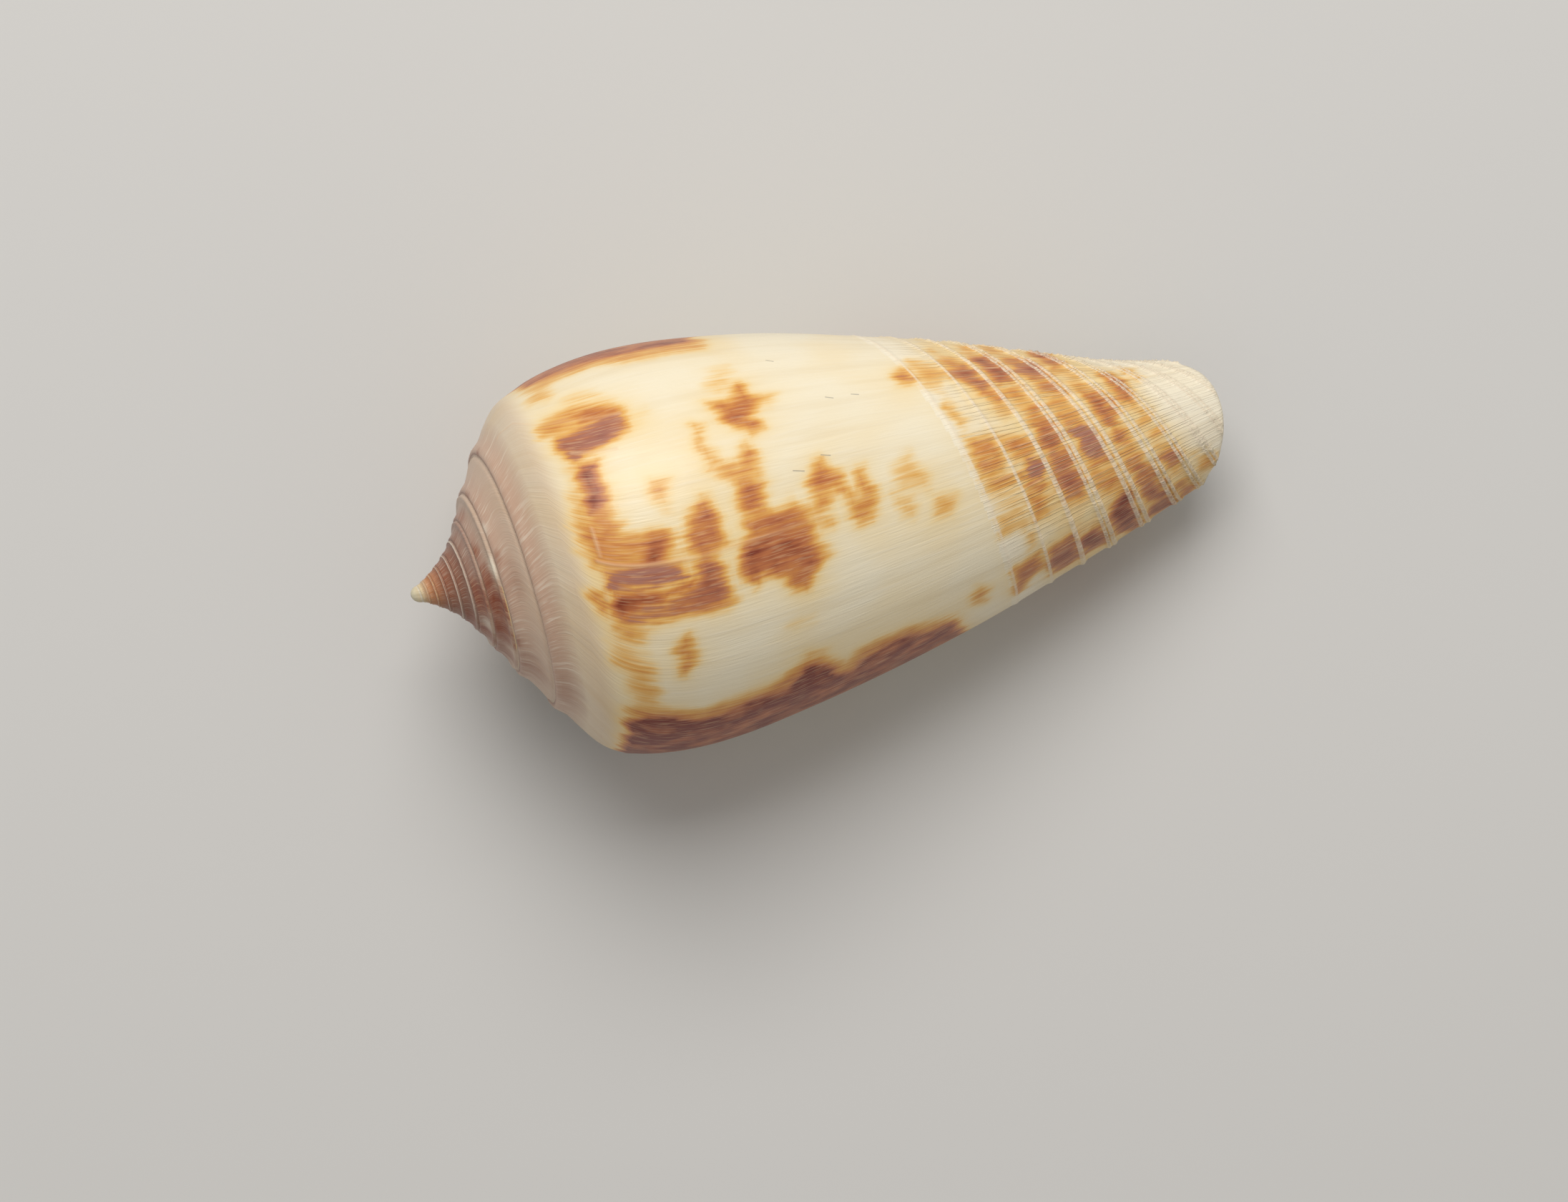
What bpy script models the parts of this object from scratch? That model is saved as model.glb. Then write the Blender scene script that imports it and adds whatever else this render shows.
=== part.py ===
"""A cone shell that lies on its aperture: one closed solid, in metres, +Z up, resting on z = 0.

The shell is coiled to the right round a straight axis. Two lines drive its shape. The spiral line is
the shoulder of the last turn and, a turn further in, the suture that the next turn grew along. The
lip line is the outline of the last turn, from its shoulder to the front rim. Every other section is
the lip line drawn in towards the axis as the shell is followed back from its lip.

Lengths here are millimetres. A station is a distance from the apex along the coiling axis, a turn is
an angle followed back from the lip, and w runs from 0 at the shoulder to 1 at the front.
"""

from math import cos, log, pi, radians, sin, sqrt, tau

import bmesh
import bpy
import numpy as np
from mathutils import Euler, Vector

MM = 0.001

# Spire: the spiral line lies on a hollow-sided cone, given by stations at a few radii
SHOULDER_RADIUS = 11.3
TURN_GROWTH = 1.40  # each turn is this much wider than the one before it
SPIRE_RADII = (0.0, 0.30, 0.44, 0.65, 0.95, 1.60, 2.06, 3.50, 5.10, 6.90, 7.90, 9.20, 12.0)
SPIRE_STATIONS = (0.0, 0.12, 0.42, 0.84, 1.32, 2.15, 2.60, 3.54, 4.38, 5.52, 6.13, 7.10, 8.50)
SPIRE_TURNS = 9
SUTURE_DEPTH = 0.035  # down to RIDGE_WIDTH, these are shares of the width of a turn's ramp
SUTURE_WIDTH = 0.05
SWELL_HEIGHT = 0.045  # a low swelling beside the suture
SWELL_PLACE = 0.12
SWELL_WIDTH = 0.12
RAMP_HOLLOW = 0.035
RIDGE_HEIGHT = 0.080  # the ridge along the shoulder of the early turns
RIDGE_PLACE = 0.88
RIDGE_WIDTH = 0.10
RIDGE_START = radians(540)
OPEN_TURN = radians(300)  # from here back, the shoulder sinks into the suture of the lip's turn
SINUS = radians(6)  # how far the lip is drawn back in the middle of the ramp

# Last turn: radius of the lip line, and how fast each part of it draws in
FRONT_STATION = 48.2
LIP_PLACES = (0.0, 0.02, 0.05, 0.10, 0.15, 0.20, 0.30, 0.40, 0.50, 0.60, 0.70, 0.80, 0.90, 1.0)
LIP_RADII = (11.3, 11.9, 12.35, 12.8, 12.96, 12.9, 12.43, 11.8, 11.03, 10.1, 8.96, 7.76, 6.43, 5.2)
GROWTH_PLACES = (0.0, 0.02, 0.05, 0.10, 0.20, 0.30, 0.40, 0.50, 0.60, 0.70, 0.80, 0.90, 1.0)
GROWTH_RATIOS = (1.42, 1.50, 1.47, 1.45, 1.44, 1.48, 1.58, 1.79, 2.12, 2.80, 4.5, 9.0, 17.0)
PILLAR_RADIUS = 0.55  # the last turn never draws in closer than this at the front
LIP_SWEEP = radians(7)  # how far the middle of the lip stands ahead of its ends
RIM_STATION = 47.0
RIM_CREST = radians(99)  # the turn where the front rim reaches furthest
RIM_FALL = 3.3
RIM_LEVEL = 1.25  # the fall eases off towards this many times as much
PILLAR_STATION = 43.9  # the pillar ends here, all the way round
PILLAR_TURNS = (radians(190), radians(290))  # where the rim passes into the pillar's end

# Wall and cavity
WALL = 1.05
LIP_WALL = 0.65
WALL_TURN = radians(30)  # the wall is full this far behind the lip
EDGE_ROUND = 0.28
CAVITY_TURN = radians(210)
PILLAR_CLEAR = 0.2  # least gap between the wall and the pillar
TIP_OFFSET = 0.08  # the pillar's tip stands off the axis
TIP_RISE = 0.35

# Spiral cords round the front, by the stations where they would meet the lip
CORDS = (34.42, 36.82, 39.0, 40.97, 43.33, 45.65, 47.3, 49.0, 50.6, 52.1, 53.5, 54.9, 56.3)
CORD_MARGIN = 1.0
CORD_HEIGHT = 0.2
CORD_FULL = 42.0  # the cords have their full height from here on
FIRST_CORD = 0.45  # share of that height on the first one
CORD_WIDTH = 0.2  # share of the spacing
CORD_GROWTH = log(1.39) / tau
CORD_LEAN = 0.025  # past LEAN_FROM they run back towards the apex a little faster
LEAN_FROM = radians(120)
LEAN_SOFT = 0.3
CORD_FADE = radians(20)  # they die out this far inside the aperture

# Rest: the shell lies on its lip and its belly
UP_TURN = radians(123.2)  # the turn that faces up
PITCH = radians(10.6)  # the apex is raised
FLAT_DEPTH = 0.12  # the belly and the lip are flattened by this much where they rest
BISECT_MERGE = 0.002

# Mesh
COLUMNS = 72
RAMP_ROWS = (0.07, 0.22, 0.5, 0.78, 0.92)
BODY_ROWS = (0.0, 0.03, 0.055, 0.08, 0.12, 0.17, 0.22, 0.28, 0.34, 0.40, 0.46, 0.52, 0.58, 0.64)
CORD_ROWS = 38  # finer rows, from the last of those to the rim
KNOB_RINGS = (0.9, 0.6, 0.3)
TRIANGLES = 9400

SHELL_COLOUR = (0.80, 0.68, 0.46, 1.0)
SHELL_ROUGHNESS = 0.35


def smooth(x, xs, ys):
    """A curve through the points (xs, ys) with no corner at any of them."""
    xs = np.asarray(xs, float)
    ys = np.asarray(ys, float)
    x = np.clip(x, xs[0], xs[-1])
    step = np.diff(xs)
    rise = np.diff(ys) / step
    inner = (rise[:-1] * step[1:] + rise[1:] * step[:-1]) / (step[1:] + step[:-1])
    slope = np.concatenate([rise[:1], inner, rise[-1:]])
    i = np.clip(np.searchsorted(xs, x, side="right") - 1, 0, len(step) - 1)
    t = (x - xs[i]) / step[i]
    value = ys[i] * (1 + 2 * t) * (1 - t) ** 2 + ys[i + 1] * t * t * (3 - 2 * t)
    return value + step[i] * t * (1 - t) * (slope[i] * (1 - t) - slope[i + 1] * t)


def ease(t):
    t = np.clip(t, 0, 1)
    return t * t * (3 - 2 * t)


def bump(x, middle, width):
    return np.exp(-(((x - middle) / width) ** 2))


def spiral_line(turn):
    """Station and radius of the shoulder at this turn, which is the suture a turn further in."""
    radius = SHOULDER_RADIUS * TURN_GROWTH ** (-turn / tau)
    return np.array([smooth(radius, SPIRE_RADII, SPIRE_STATIONS), radius])


def rim_station(turn):
    """Station of the front rim, and past PILLAR_TURNS of the pillar's end."""
    fall = (1 - np.cos(turn - RIM_CREST)) / RIM_LEVEL
    rim = RIM_STATION - RIM_FALL * RIM_LEVEL * np.tanh(fall)
    start, full = PILLAR_TURNS
    return rim + (PILLAR_STATION - rim) * ease((turn - start) / (full - start))


def body_radius(turn, station):
    """Radius of the last turn's outside, without its cords."""
    shoulder = spiral_line(turn)[0]
    w = np.clip((station - shoulder) / (FRONT_STATION - shoulder), 0, 1)
    growth = log(smooth(w, GROWTH_PLACES, GROWTH_RATIOS)) / tau
    drawn_in = turn - ease(w) * sin(turn)
    radius = smooth(w, LIP_PLACES, LIP_RADII) * np.exp(-growth * drawn_in)
    return np.hypot(radius, PILLAR_RADIUS * ease(w))


def cord_lift(turn, station):
    """Height of the spiral cords: each keeps its place on the lip as the lip grows forward."""
    lean = (np.hypot(turn - LEAN_FROM, LEAN_SOFT) + turn - LEAN_FROM) / 2
    at_lip = station * np.exp(CORD_GROWTH * turn + CORD_LEAN * lean)
    if not CORDS[0] - CORD_MARGIN < at_lip < CORDS[-1] + CORD_MARGIN:
        return 0.0
    index = np.interp(at_lip, CORDS, np.arange(len(CORDS)))
    strength = ease((at_lip - CORDS[0]) / (CORD_FULL - CORDS[0]))
    strength = FIRST_CORD + (1 - FIRST_CORD) * strength
    inside = ease((turn - tau) / CORD_FADE)
    return CORD_HEIGHT * strength * (1 - inside) * bump(index - round(index), 0, CORD_WIDTH)


def body_point(turn, share, cords=True):
    """Turn, station and radius of a point this share of the way from the shoulder to the rim."""
    turn = turn - LIP_SWEEP * sin(pi * share)
    shoulder = spiral_line(turn)[0]
    station = shoulder + (rim_station(turn) - shoulder) * share
    radius = body_radius(turn, station)
    return np.array([turn, station, radius + (cord_lift(turn, station) if cords else 0.0)])


def ramp_point(turn, share):
    """Turn, station and radius of a point this share of the way from the suture to the next one."""
    turn = turn + SINUS * sin(pi * share)
    inner = spiral_line(turn + tau)
    outer = spiral_line(turn)
    across = outer - inner
    outward = np.array([-across[1], across[0]])
    early = ease((turn - RIDGE_START) / tau)
    covered = ease((turn - OPEN_TURN) / (tau - OPEN_TURN))
    lift = SWELL_HEIGHT * bump(share, SWELL_PLACE, SWELL_WIDTH)
    lift += RIDGE_HEIGHT * bump(share, RIDGE_PLACE, RIDGE_WIDTH) * early
    lift -= RAMP_HOLLOW * sin(pi * share)
    lift -= SUTURE_DEPTH * bump(share, 0, SUTURE_WIDTH)
    lift -= SUTURE_DEPTH * bump(share, 1, SUTURE_WIDTH) * covered
    station, radius = inner + across * share + outward * lift
    return np.array([turn, station, radius])


def wall_at(turn):
    return LIP_WALL + (WALL - LIP_WALL) * ease(turn / WALL_TURN)


def inner_section(turn, rows):
    """The shell's section at this turn, moved inwards by the wall and kept off the pillar."""
    section = [ramp_point(turn, share) for share in (0.0, *RAMP_ROWS, 1.0)]
    section += [body_point(turn, share, cords=False) for share in rows[1:]]
    section = np.array(section)
    along = np.gradient(section[:, 1:], axis=0)
    along /= np.linalg.norm(along, axis=1)[:, None]
    wall = wall_at(turn)
    stations = section[:, 1] + along[:, 1] * wall
    stations[-1] = section[-1, 1]
    radii = section[:, 2] - along[:, 0] * wall
    pillar = [body_radius(at + tau, station) for at, station in zip(section[:, 0], stations)]
    radii = np.maximum(radii, np.array(pillar) + PILLAR_CLEAR)
    return np.column_stack([section[:, 0], stations, radii])


class Surface:
    """Collects points given by turn, station and radius, and the faces between them."""

    def __init__(self):
        self.points = []
        self.faces = []

    def add(self, turn, station, radius):
        angle = UP_TURN - turn
        self.points.append((station, -radius * sin(angle), radius * cos(angle)))
        return len(self.points) - 1

    def add_between(self, one, other, ahead=0.0, forward=0.0):
        """A point between two others, pushed ahead round the axis or forward along it."""
        station, y, z = (np.array(self.points[one]) + np.array(self.points[other])) / 2
        turned = y * cos(ahead) - z * sin(ahead), z * cos(ahead) + y * sin(ahead)
        self.points.append((station + forward, *turned))
        return len(self.points) - 1

    def strip(self, one, other):
        """Faces between two chains of the same length, which may share an end point."""
        for i in range(len(one) - 1):
            corners = [one[i], one[i + 1], other[i + 1], other[i]]
            self.faces.append([c for n, c in enumerate(corners) if c not in corners[:n]])

    def fan(self, loop, centre):
        for i, corner in enumerate(loop):
            self.faces.append([corner, loop[(i + 1) % len(loop)], centre])


def add_spire(surface, turns):
    """The spiral line, and for each column of the spire its chain from suture to shoulder."""
    line = [surface.add(*ramp_point(turn, 1.0)) for turn in turns]
    ramps = []
    for column in range(COLUMNS * SPIRE_TURNS + 1):
        between = [surface.add(*ramp_point(turns[column], share)) for share in RAMP_ROWS]
        ramps.append([line[column + COLUMNS], *between, line[column]])
    for one, other in zip(ramps, ramps[1:]):
        surface.strip(one, other)
    return line, ramps


def add_knob(surface, loop):
    """A round knob that closes the apex over the loop of points given."""
    base = [surface.points[point] for point in loop]
    for size in KNOB_RINGS:
        ring = []
        for station, y, z in base:
            surface.points.append((station * (1 - sqrt(1 - size * size)), y * size, z * size))
            ring.append(len(surface.points) - 1)
        surface.strip(loop + loop[:1], ring + ring[:1])
        loop = ring
    surface.points.append((0.0, 0.0, 0.0))
    surface.fan(loop, len(surface.points) - 1)


def add_last_turn(surface, turns, rows, line, columns):
    """Chains from the shoulder to the rim, one for each column from the lip back into the cavity."""
    chains = []
    for column in range(columns):
        side = [surface.add(*body_point(turns[column], share)) for share in rows[1:]]
        chains.append([line[column], *side])
    for one, other in zip(chains[: COLUMNS + 1], chains[1 : COLUMNS + 1]):
        surface.strip(one, other)
    for one, other in zip(chains[COLUMNS:], chains[COLUMNS + 1 :]):
        surface.strip(one[1:], other[1:])
    return chains


def add_inside(surface, turns, rows, chains, columns):
    """Chains of the wall's inner side. Each starts on the pillar, under the suture."""
    inner = []
    for column in range(columns):
        foot = chains[COLUMNS + column][1]
        section = inner_section(turns[column], rows)[1:]
        inner.append([foot] + [surface.add(*point) for point in section])
    for one, other in zip(inner, inner[1:]):
        surface.strip(one, other)
    return inner


def shell_surface():
    surface = Surface()
    rows = (*BODY_ROWS, *np.linspace(BODY_ROWS[-1], 1, CORD_ROWS + 1)[1:])
    turns = np.arange(COLUMNS * (SPIRE_TURNS + 1) + 1) * tau / COLUMNS
    cavity = round(CAVITY_TURN / tau * COLUMNS)

    line, ramps = add_spire(surface, turns)
    add_knob(surface, line[COLUMNS * SPIRE_TURNS :] + ramps[-1][1:-1])
    chains = add_last_turn(surface, turns, rows, line, COLUMNS + cavity + 1)
    inner = add_inside(surface, turns, rows, chains, cavity + 1)

    # Rounded edge of the lip
    lip = ramps[0] + chains[0][1:]
    edge = [lip[0]]
    for out, into in zip(lip[1:], inner[0][1:]):
        reach = EDGE_ROUND / max(LIP_WALL, np.hypot(*surface.points[out][1:]))
        edge.append(surface.add_between(out, into, ahead=reach))
    surface.strip(lip, edge)
    surface.strip(edge, inner[0])

    # Rounded edge of the front rim
    rim = [[lip[-1], edge[-1], inner[0][-1]]]
    for column in range(1, cavity + 1):
        out, into = chains[column][-1], inner[column][-1]
        rim.append([out, surface.add_between(out, into, forward=EDGE_ROUND), into])
    for one, other in zip(rim, rim[1:]):
        surface.strip(one, other)

    # Blind end of the cavity, and the tip of the pillar
    end = inner[cavity]
    beside = len(RAMP_ROWS) + 2
    for i in range(1, beside):
        surface.faces.append([end[0], end[i], end[i + 1]])
    surface.strip(end[beside:], chains[COLUMNS + cavity][1:])
    tip_loop = [chain[-1] for chain in chains[cavity:]] + rim[cavity][:0:-1]
    tip_turn = CAVITY_TURN + pi / 2
    tip = surface.add(tip_turn, rim_station(tip_turn) + TIP_RISE, TIP_OFFSET)
    surface.fan(tip_loop, tip)
    return surface


def closed_mesh(surface):
    mesh = bpy.data.meshes.new("shell")
    mesh.from_pydata([Vector(point) * MM for point in surface.points], [], surface.faces)
    work = bmesh.new()
    work.from_mesh(mesh)
    bmesh.ops.recalc_face_normals(work, faces=work.faces)
    bmesh.ops.triangulate(work, faces=work.faces)
    work.to_mesh(mesh)
    work.free()
    return mesh


def thinned(mesh, triangles):
    """The same surface with fewer triangles, where it is plain."""
    helper = bpy.data.objects.new("helper", mesh)
    bpy.context.scene.collection.objects.link(helper)
    thin = helper.modifiers.new("thin", "DECIMATE")
    thin.ratio = triangles / len(mesh.polygons)
    graph = bpy.context.evaluated_depsgraph_get()
    result = bpy.data.meshes.new_from_object(helper.evaluated_get(graph))
    bpy.data.objects.remove(helper)
    return result


def lay_down(mesh):
    """Tips the shell on to its lip and belly, flattens it there and centres it over the origin."""
    mesh.transform(Euler((0.0, PITCH, 0.0)).to_matrix().to_4x4())
    points = np.array([vertex.co for vertex in mesh.vertices])
    low, high = points.min(axis=0), points.max(axis=0)
    ground = Vector(((low[0] + high[0]) / 2, (low[1] + high[1]) / 2, low[2] + FLAT_DEPTH * MM))
    work = bmesh.new()
    work.from_mesh(mesh)
    everything = list(work.verts) + list(work.edges) + list(work.faces)
    bmesh.ops.bisect_plane(work, geom=everything, dist=BISECT_MERGE * MM, plane_co=ground, plane_no=(0, 0, 1))
    for vertex in work.verts:
        x, y, z = vertex.co - ground
        vertex.co = (x, y, max(z, 0.0))
    bmesh.ops.triangulate(work, faces=work.faces)
    work.to_mesh(mesh)
    work.free()


def shell_material():
    material = bpy.data.materials.new("shell")
    material.use_nodes = True
    shader = material.node_tree.nodes["Principled BSDF"]
    shader.inputs["Base Color"].default_value = SHELL_COLOUR
    shader.inputs["Roughness"].default_value = SHELL_ROUGHNESS
    shader.inputs["Metallic"].default_value = 0.0
    return material


def main():
    for old in list(bpy.data.objects):
        bpy.data.objects.remove(old)
    mesh = thinned(closed_mesh(shell_surface()), TRIANGLES)
    lay_down(mesh)
    mesh.materials.append(shell_material())
    mesh.shade_smooth()
    shell = bpy.data.objects.new("shell", mesh)
    bpy.context.scene.collection.objects.link(shell)


if __name__ == "__main__":
    main()
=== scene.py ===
"""A cone shell that lies on its aperture, with its cords, sutures, growth lines, marks and glaze.

The shell is coiled to the right round a straight axis. A station is a distance in millimetres from the
apex along that axis, and a turn is an angle followed back from the lip. A share runs from 0 at the
shoulder to 1 at the front rim, or on the spire from a turn's inner suture to its shoulder.
"""

from functools import reduce
from math import log, pi, radians, tau

import bmesh
import bpy
import numpy as np
from bpy.props import FloatProperty, FloatVectorProperty, PointerProperty
from mathutils import Euler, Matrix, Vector


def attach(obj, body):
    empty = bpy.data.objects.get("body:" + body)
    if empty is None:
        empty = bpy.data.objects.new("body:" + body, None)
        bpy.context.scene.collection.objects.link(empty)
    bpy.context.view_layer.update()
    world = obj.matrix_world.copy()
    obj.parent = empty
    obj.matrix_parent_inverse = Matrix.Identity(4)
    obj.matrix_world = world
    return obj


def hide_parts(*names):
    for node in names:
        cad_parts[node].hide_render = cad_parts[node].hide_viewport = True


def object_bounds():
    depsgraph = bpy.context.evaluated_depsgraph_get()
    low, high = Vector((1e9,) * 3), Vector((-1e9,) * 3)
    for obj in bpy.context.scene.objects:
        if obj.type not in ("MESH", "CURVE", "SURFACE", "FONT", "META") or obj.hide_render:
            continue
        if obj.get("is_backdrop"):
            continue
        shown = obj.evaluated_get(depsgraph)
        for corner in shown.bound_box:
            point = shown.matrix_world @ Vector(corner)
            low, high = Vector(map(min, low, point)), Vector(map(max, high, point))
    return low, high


bl_info = {
    "name": "Cone shell",
    "version": (1, 0, 0),
    "blender": (4, 5, 0),
    "location": "3D View > Sidebar > Cone shell",
    "description": "Builds a right-handed cone shell with relief, marks and glaze, and its stage",
    "category": "Add Mesh",
}

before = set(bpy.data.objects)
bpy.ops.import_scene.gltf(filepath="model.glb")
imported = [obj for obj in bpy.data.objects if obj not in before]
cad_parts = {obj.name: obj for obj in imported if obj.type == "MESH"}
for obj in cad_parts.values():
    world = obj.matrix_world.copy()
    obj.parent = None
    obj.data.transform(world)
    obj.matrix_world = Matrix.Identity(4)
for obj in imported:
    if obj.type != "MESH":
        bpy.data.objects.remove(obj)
CAD_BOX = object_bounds()

MM = 0.001
TINY = 1e-9

# The shell's form, with the values of the solid that it replaces
SHOULDER_RADIUS = 11.3
TURN_GROWTH = 1.40
SPIRE_RADII = (0.0, 0.30, 0.44, 0.65, 0.95, 1.60, 2.06, 3.50, 5.10, 6.90, 7.90, 9.20, 12.0)
SPIRE_STATIONS = (0.0, 0.12, 0.42, 0.84, 1.32, 2.15, 2.60, 3.54, 4.38, 5.52, 6.13, 7.10, 8.50)
SPIRE_TURNS = 9
SUTURE_DEPTH = 0.035
SUTURE_WIDTH = 0.05
SWELL_HEIGHT = 0.045
SWELL_PLACE = 0.12
SWELL_WIDTH = 0.12
RAMP_HOLLOW = 0.035
RIDGE_HEIGHT = 0.080
RIDGE_PLACE = 0.88
RIDGE_WIDTH = 0.10
RIDGE_START = radians(540)
OPEN_TURN = radians(300)
SINUS = radians(6)
FRONT_STATION = 48.2
LIP_PLACES = (0.0, 0.02, 0.05, 0.10, 0.15, 0.20, 0.30, 0.40, 0.50, 0.60, 0.70, 0.80, 0.90, 1.0)
LIP_RADII = (11.3, 11.9, 12.35, 12.8, 12.96, 12.9, 12.43, 11.8, 11.03, 10.1, 8.96, 7.76, 6.43, 5.2)
GROWTH_PLACES = (0.0, 0.02, 0.05, 0.10, 0.20, 0.30, 0.40, 0.50, 0.60, 0.70, 0.80, 0.90, 1.0)
GROWTH_RATIOS = (1.42, 1.50, 1.47, 1.45, 1.44, 1.48, 1.58, 1.79, 2.12, 2.80, 4.5, 9.0, 17.0)
PILLAR_RADIUS = 0.55
LIP_SWEEP = radians(7)
RIM_STATION = 47.0
RIM_CREST = radians(99)
RIM_FALL = 3.3
RIM_LEVEL = 1.25
PILLAR_STATION = 43.9
PILLAR_TURNS = (radians(190), radians(290))
WALL = 1.05
LIP_WALL = 0.65
WALL_TURN = radians(30)
EDGE_ROUND = 0.28
CAVITY_TURN = radians(210)
PILLAR_CLEAR = 0.2
TIP_OFFSET = 0.08
TIP_RISE = 0.35
CORDS = (34.42, 36.82, 39.0, 40.97, 43.33, 45.65, 47.3, 49.0, 50.6, 52.1, 53.5, 54.9, 56.3)
CORD_MARGIN = 0.35
CORD_LEAN = 0.025
LEAN_FROM = radians(120)
LEAN_SOFT = 0.3
CORD_FULL = 42.0
FRONT_RISE = 5.0
TIP_PALE = (46.0, 3.5)
FIRST_CORD = 0.45
CORD_GROWTH = log(1.39) / tau
CORD_FADE = radians(20)
UP_TURN = radians(123.2)
PITCH = radians(10.6)
FLAT_DEPTH = 0.12

# Mesh
COLUMNS = 300
COARSE_FROM = ((2, 2), (4, 4))  # past this many turns, every so many columns
RAMP_ROWS = (0.03, 0.07, 0.12, 0.20, 0.32, 0.46, 0.60, 0.74, 0.84, 0.90, 0.95)
KNOB_RINGS = (0.97, 0.90, 0.78, 0.62, 0.42, 0.2)
EDGE_RINGS = 3
TIP_RINGS = (0.9, 0.7, 0.4)
BODY_STRETCHES = ((0.0, 0.06, 14), (0.06, 0.56, 68), (0.56, 1.0, 146))
INSIDE_EVERY = 3  # the inside takes every so many of the outside's rows
INSIDE_COLUMNS = ((0, 30, 3), (30, 176, 5))

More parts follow.
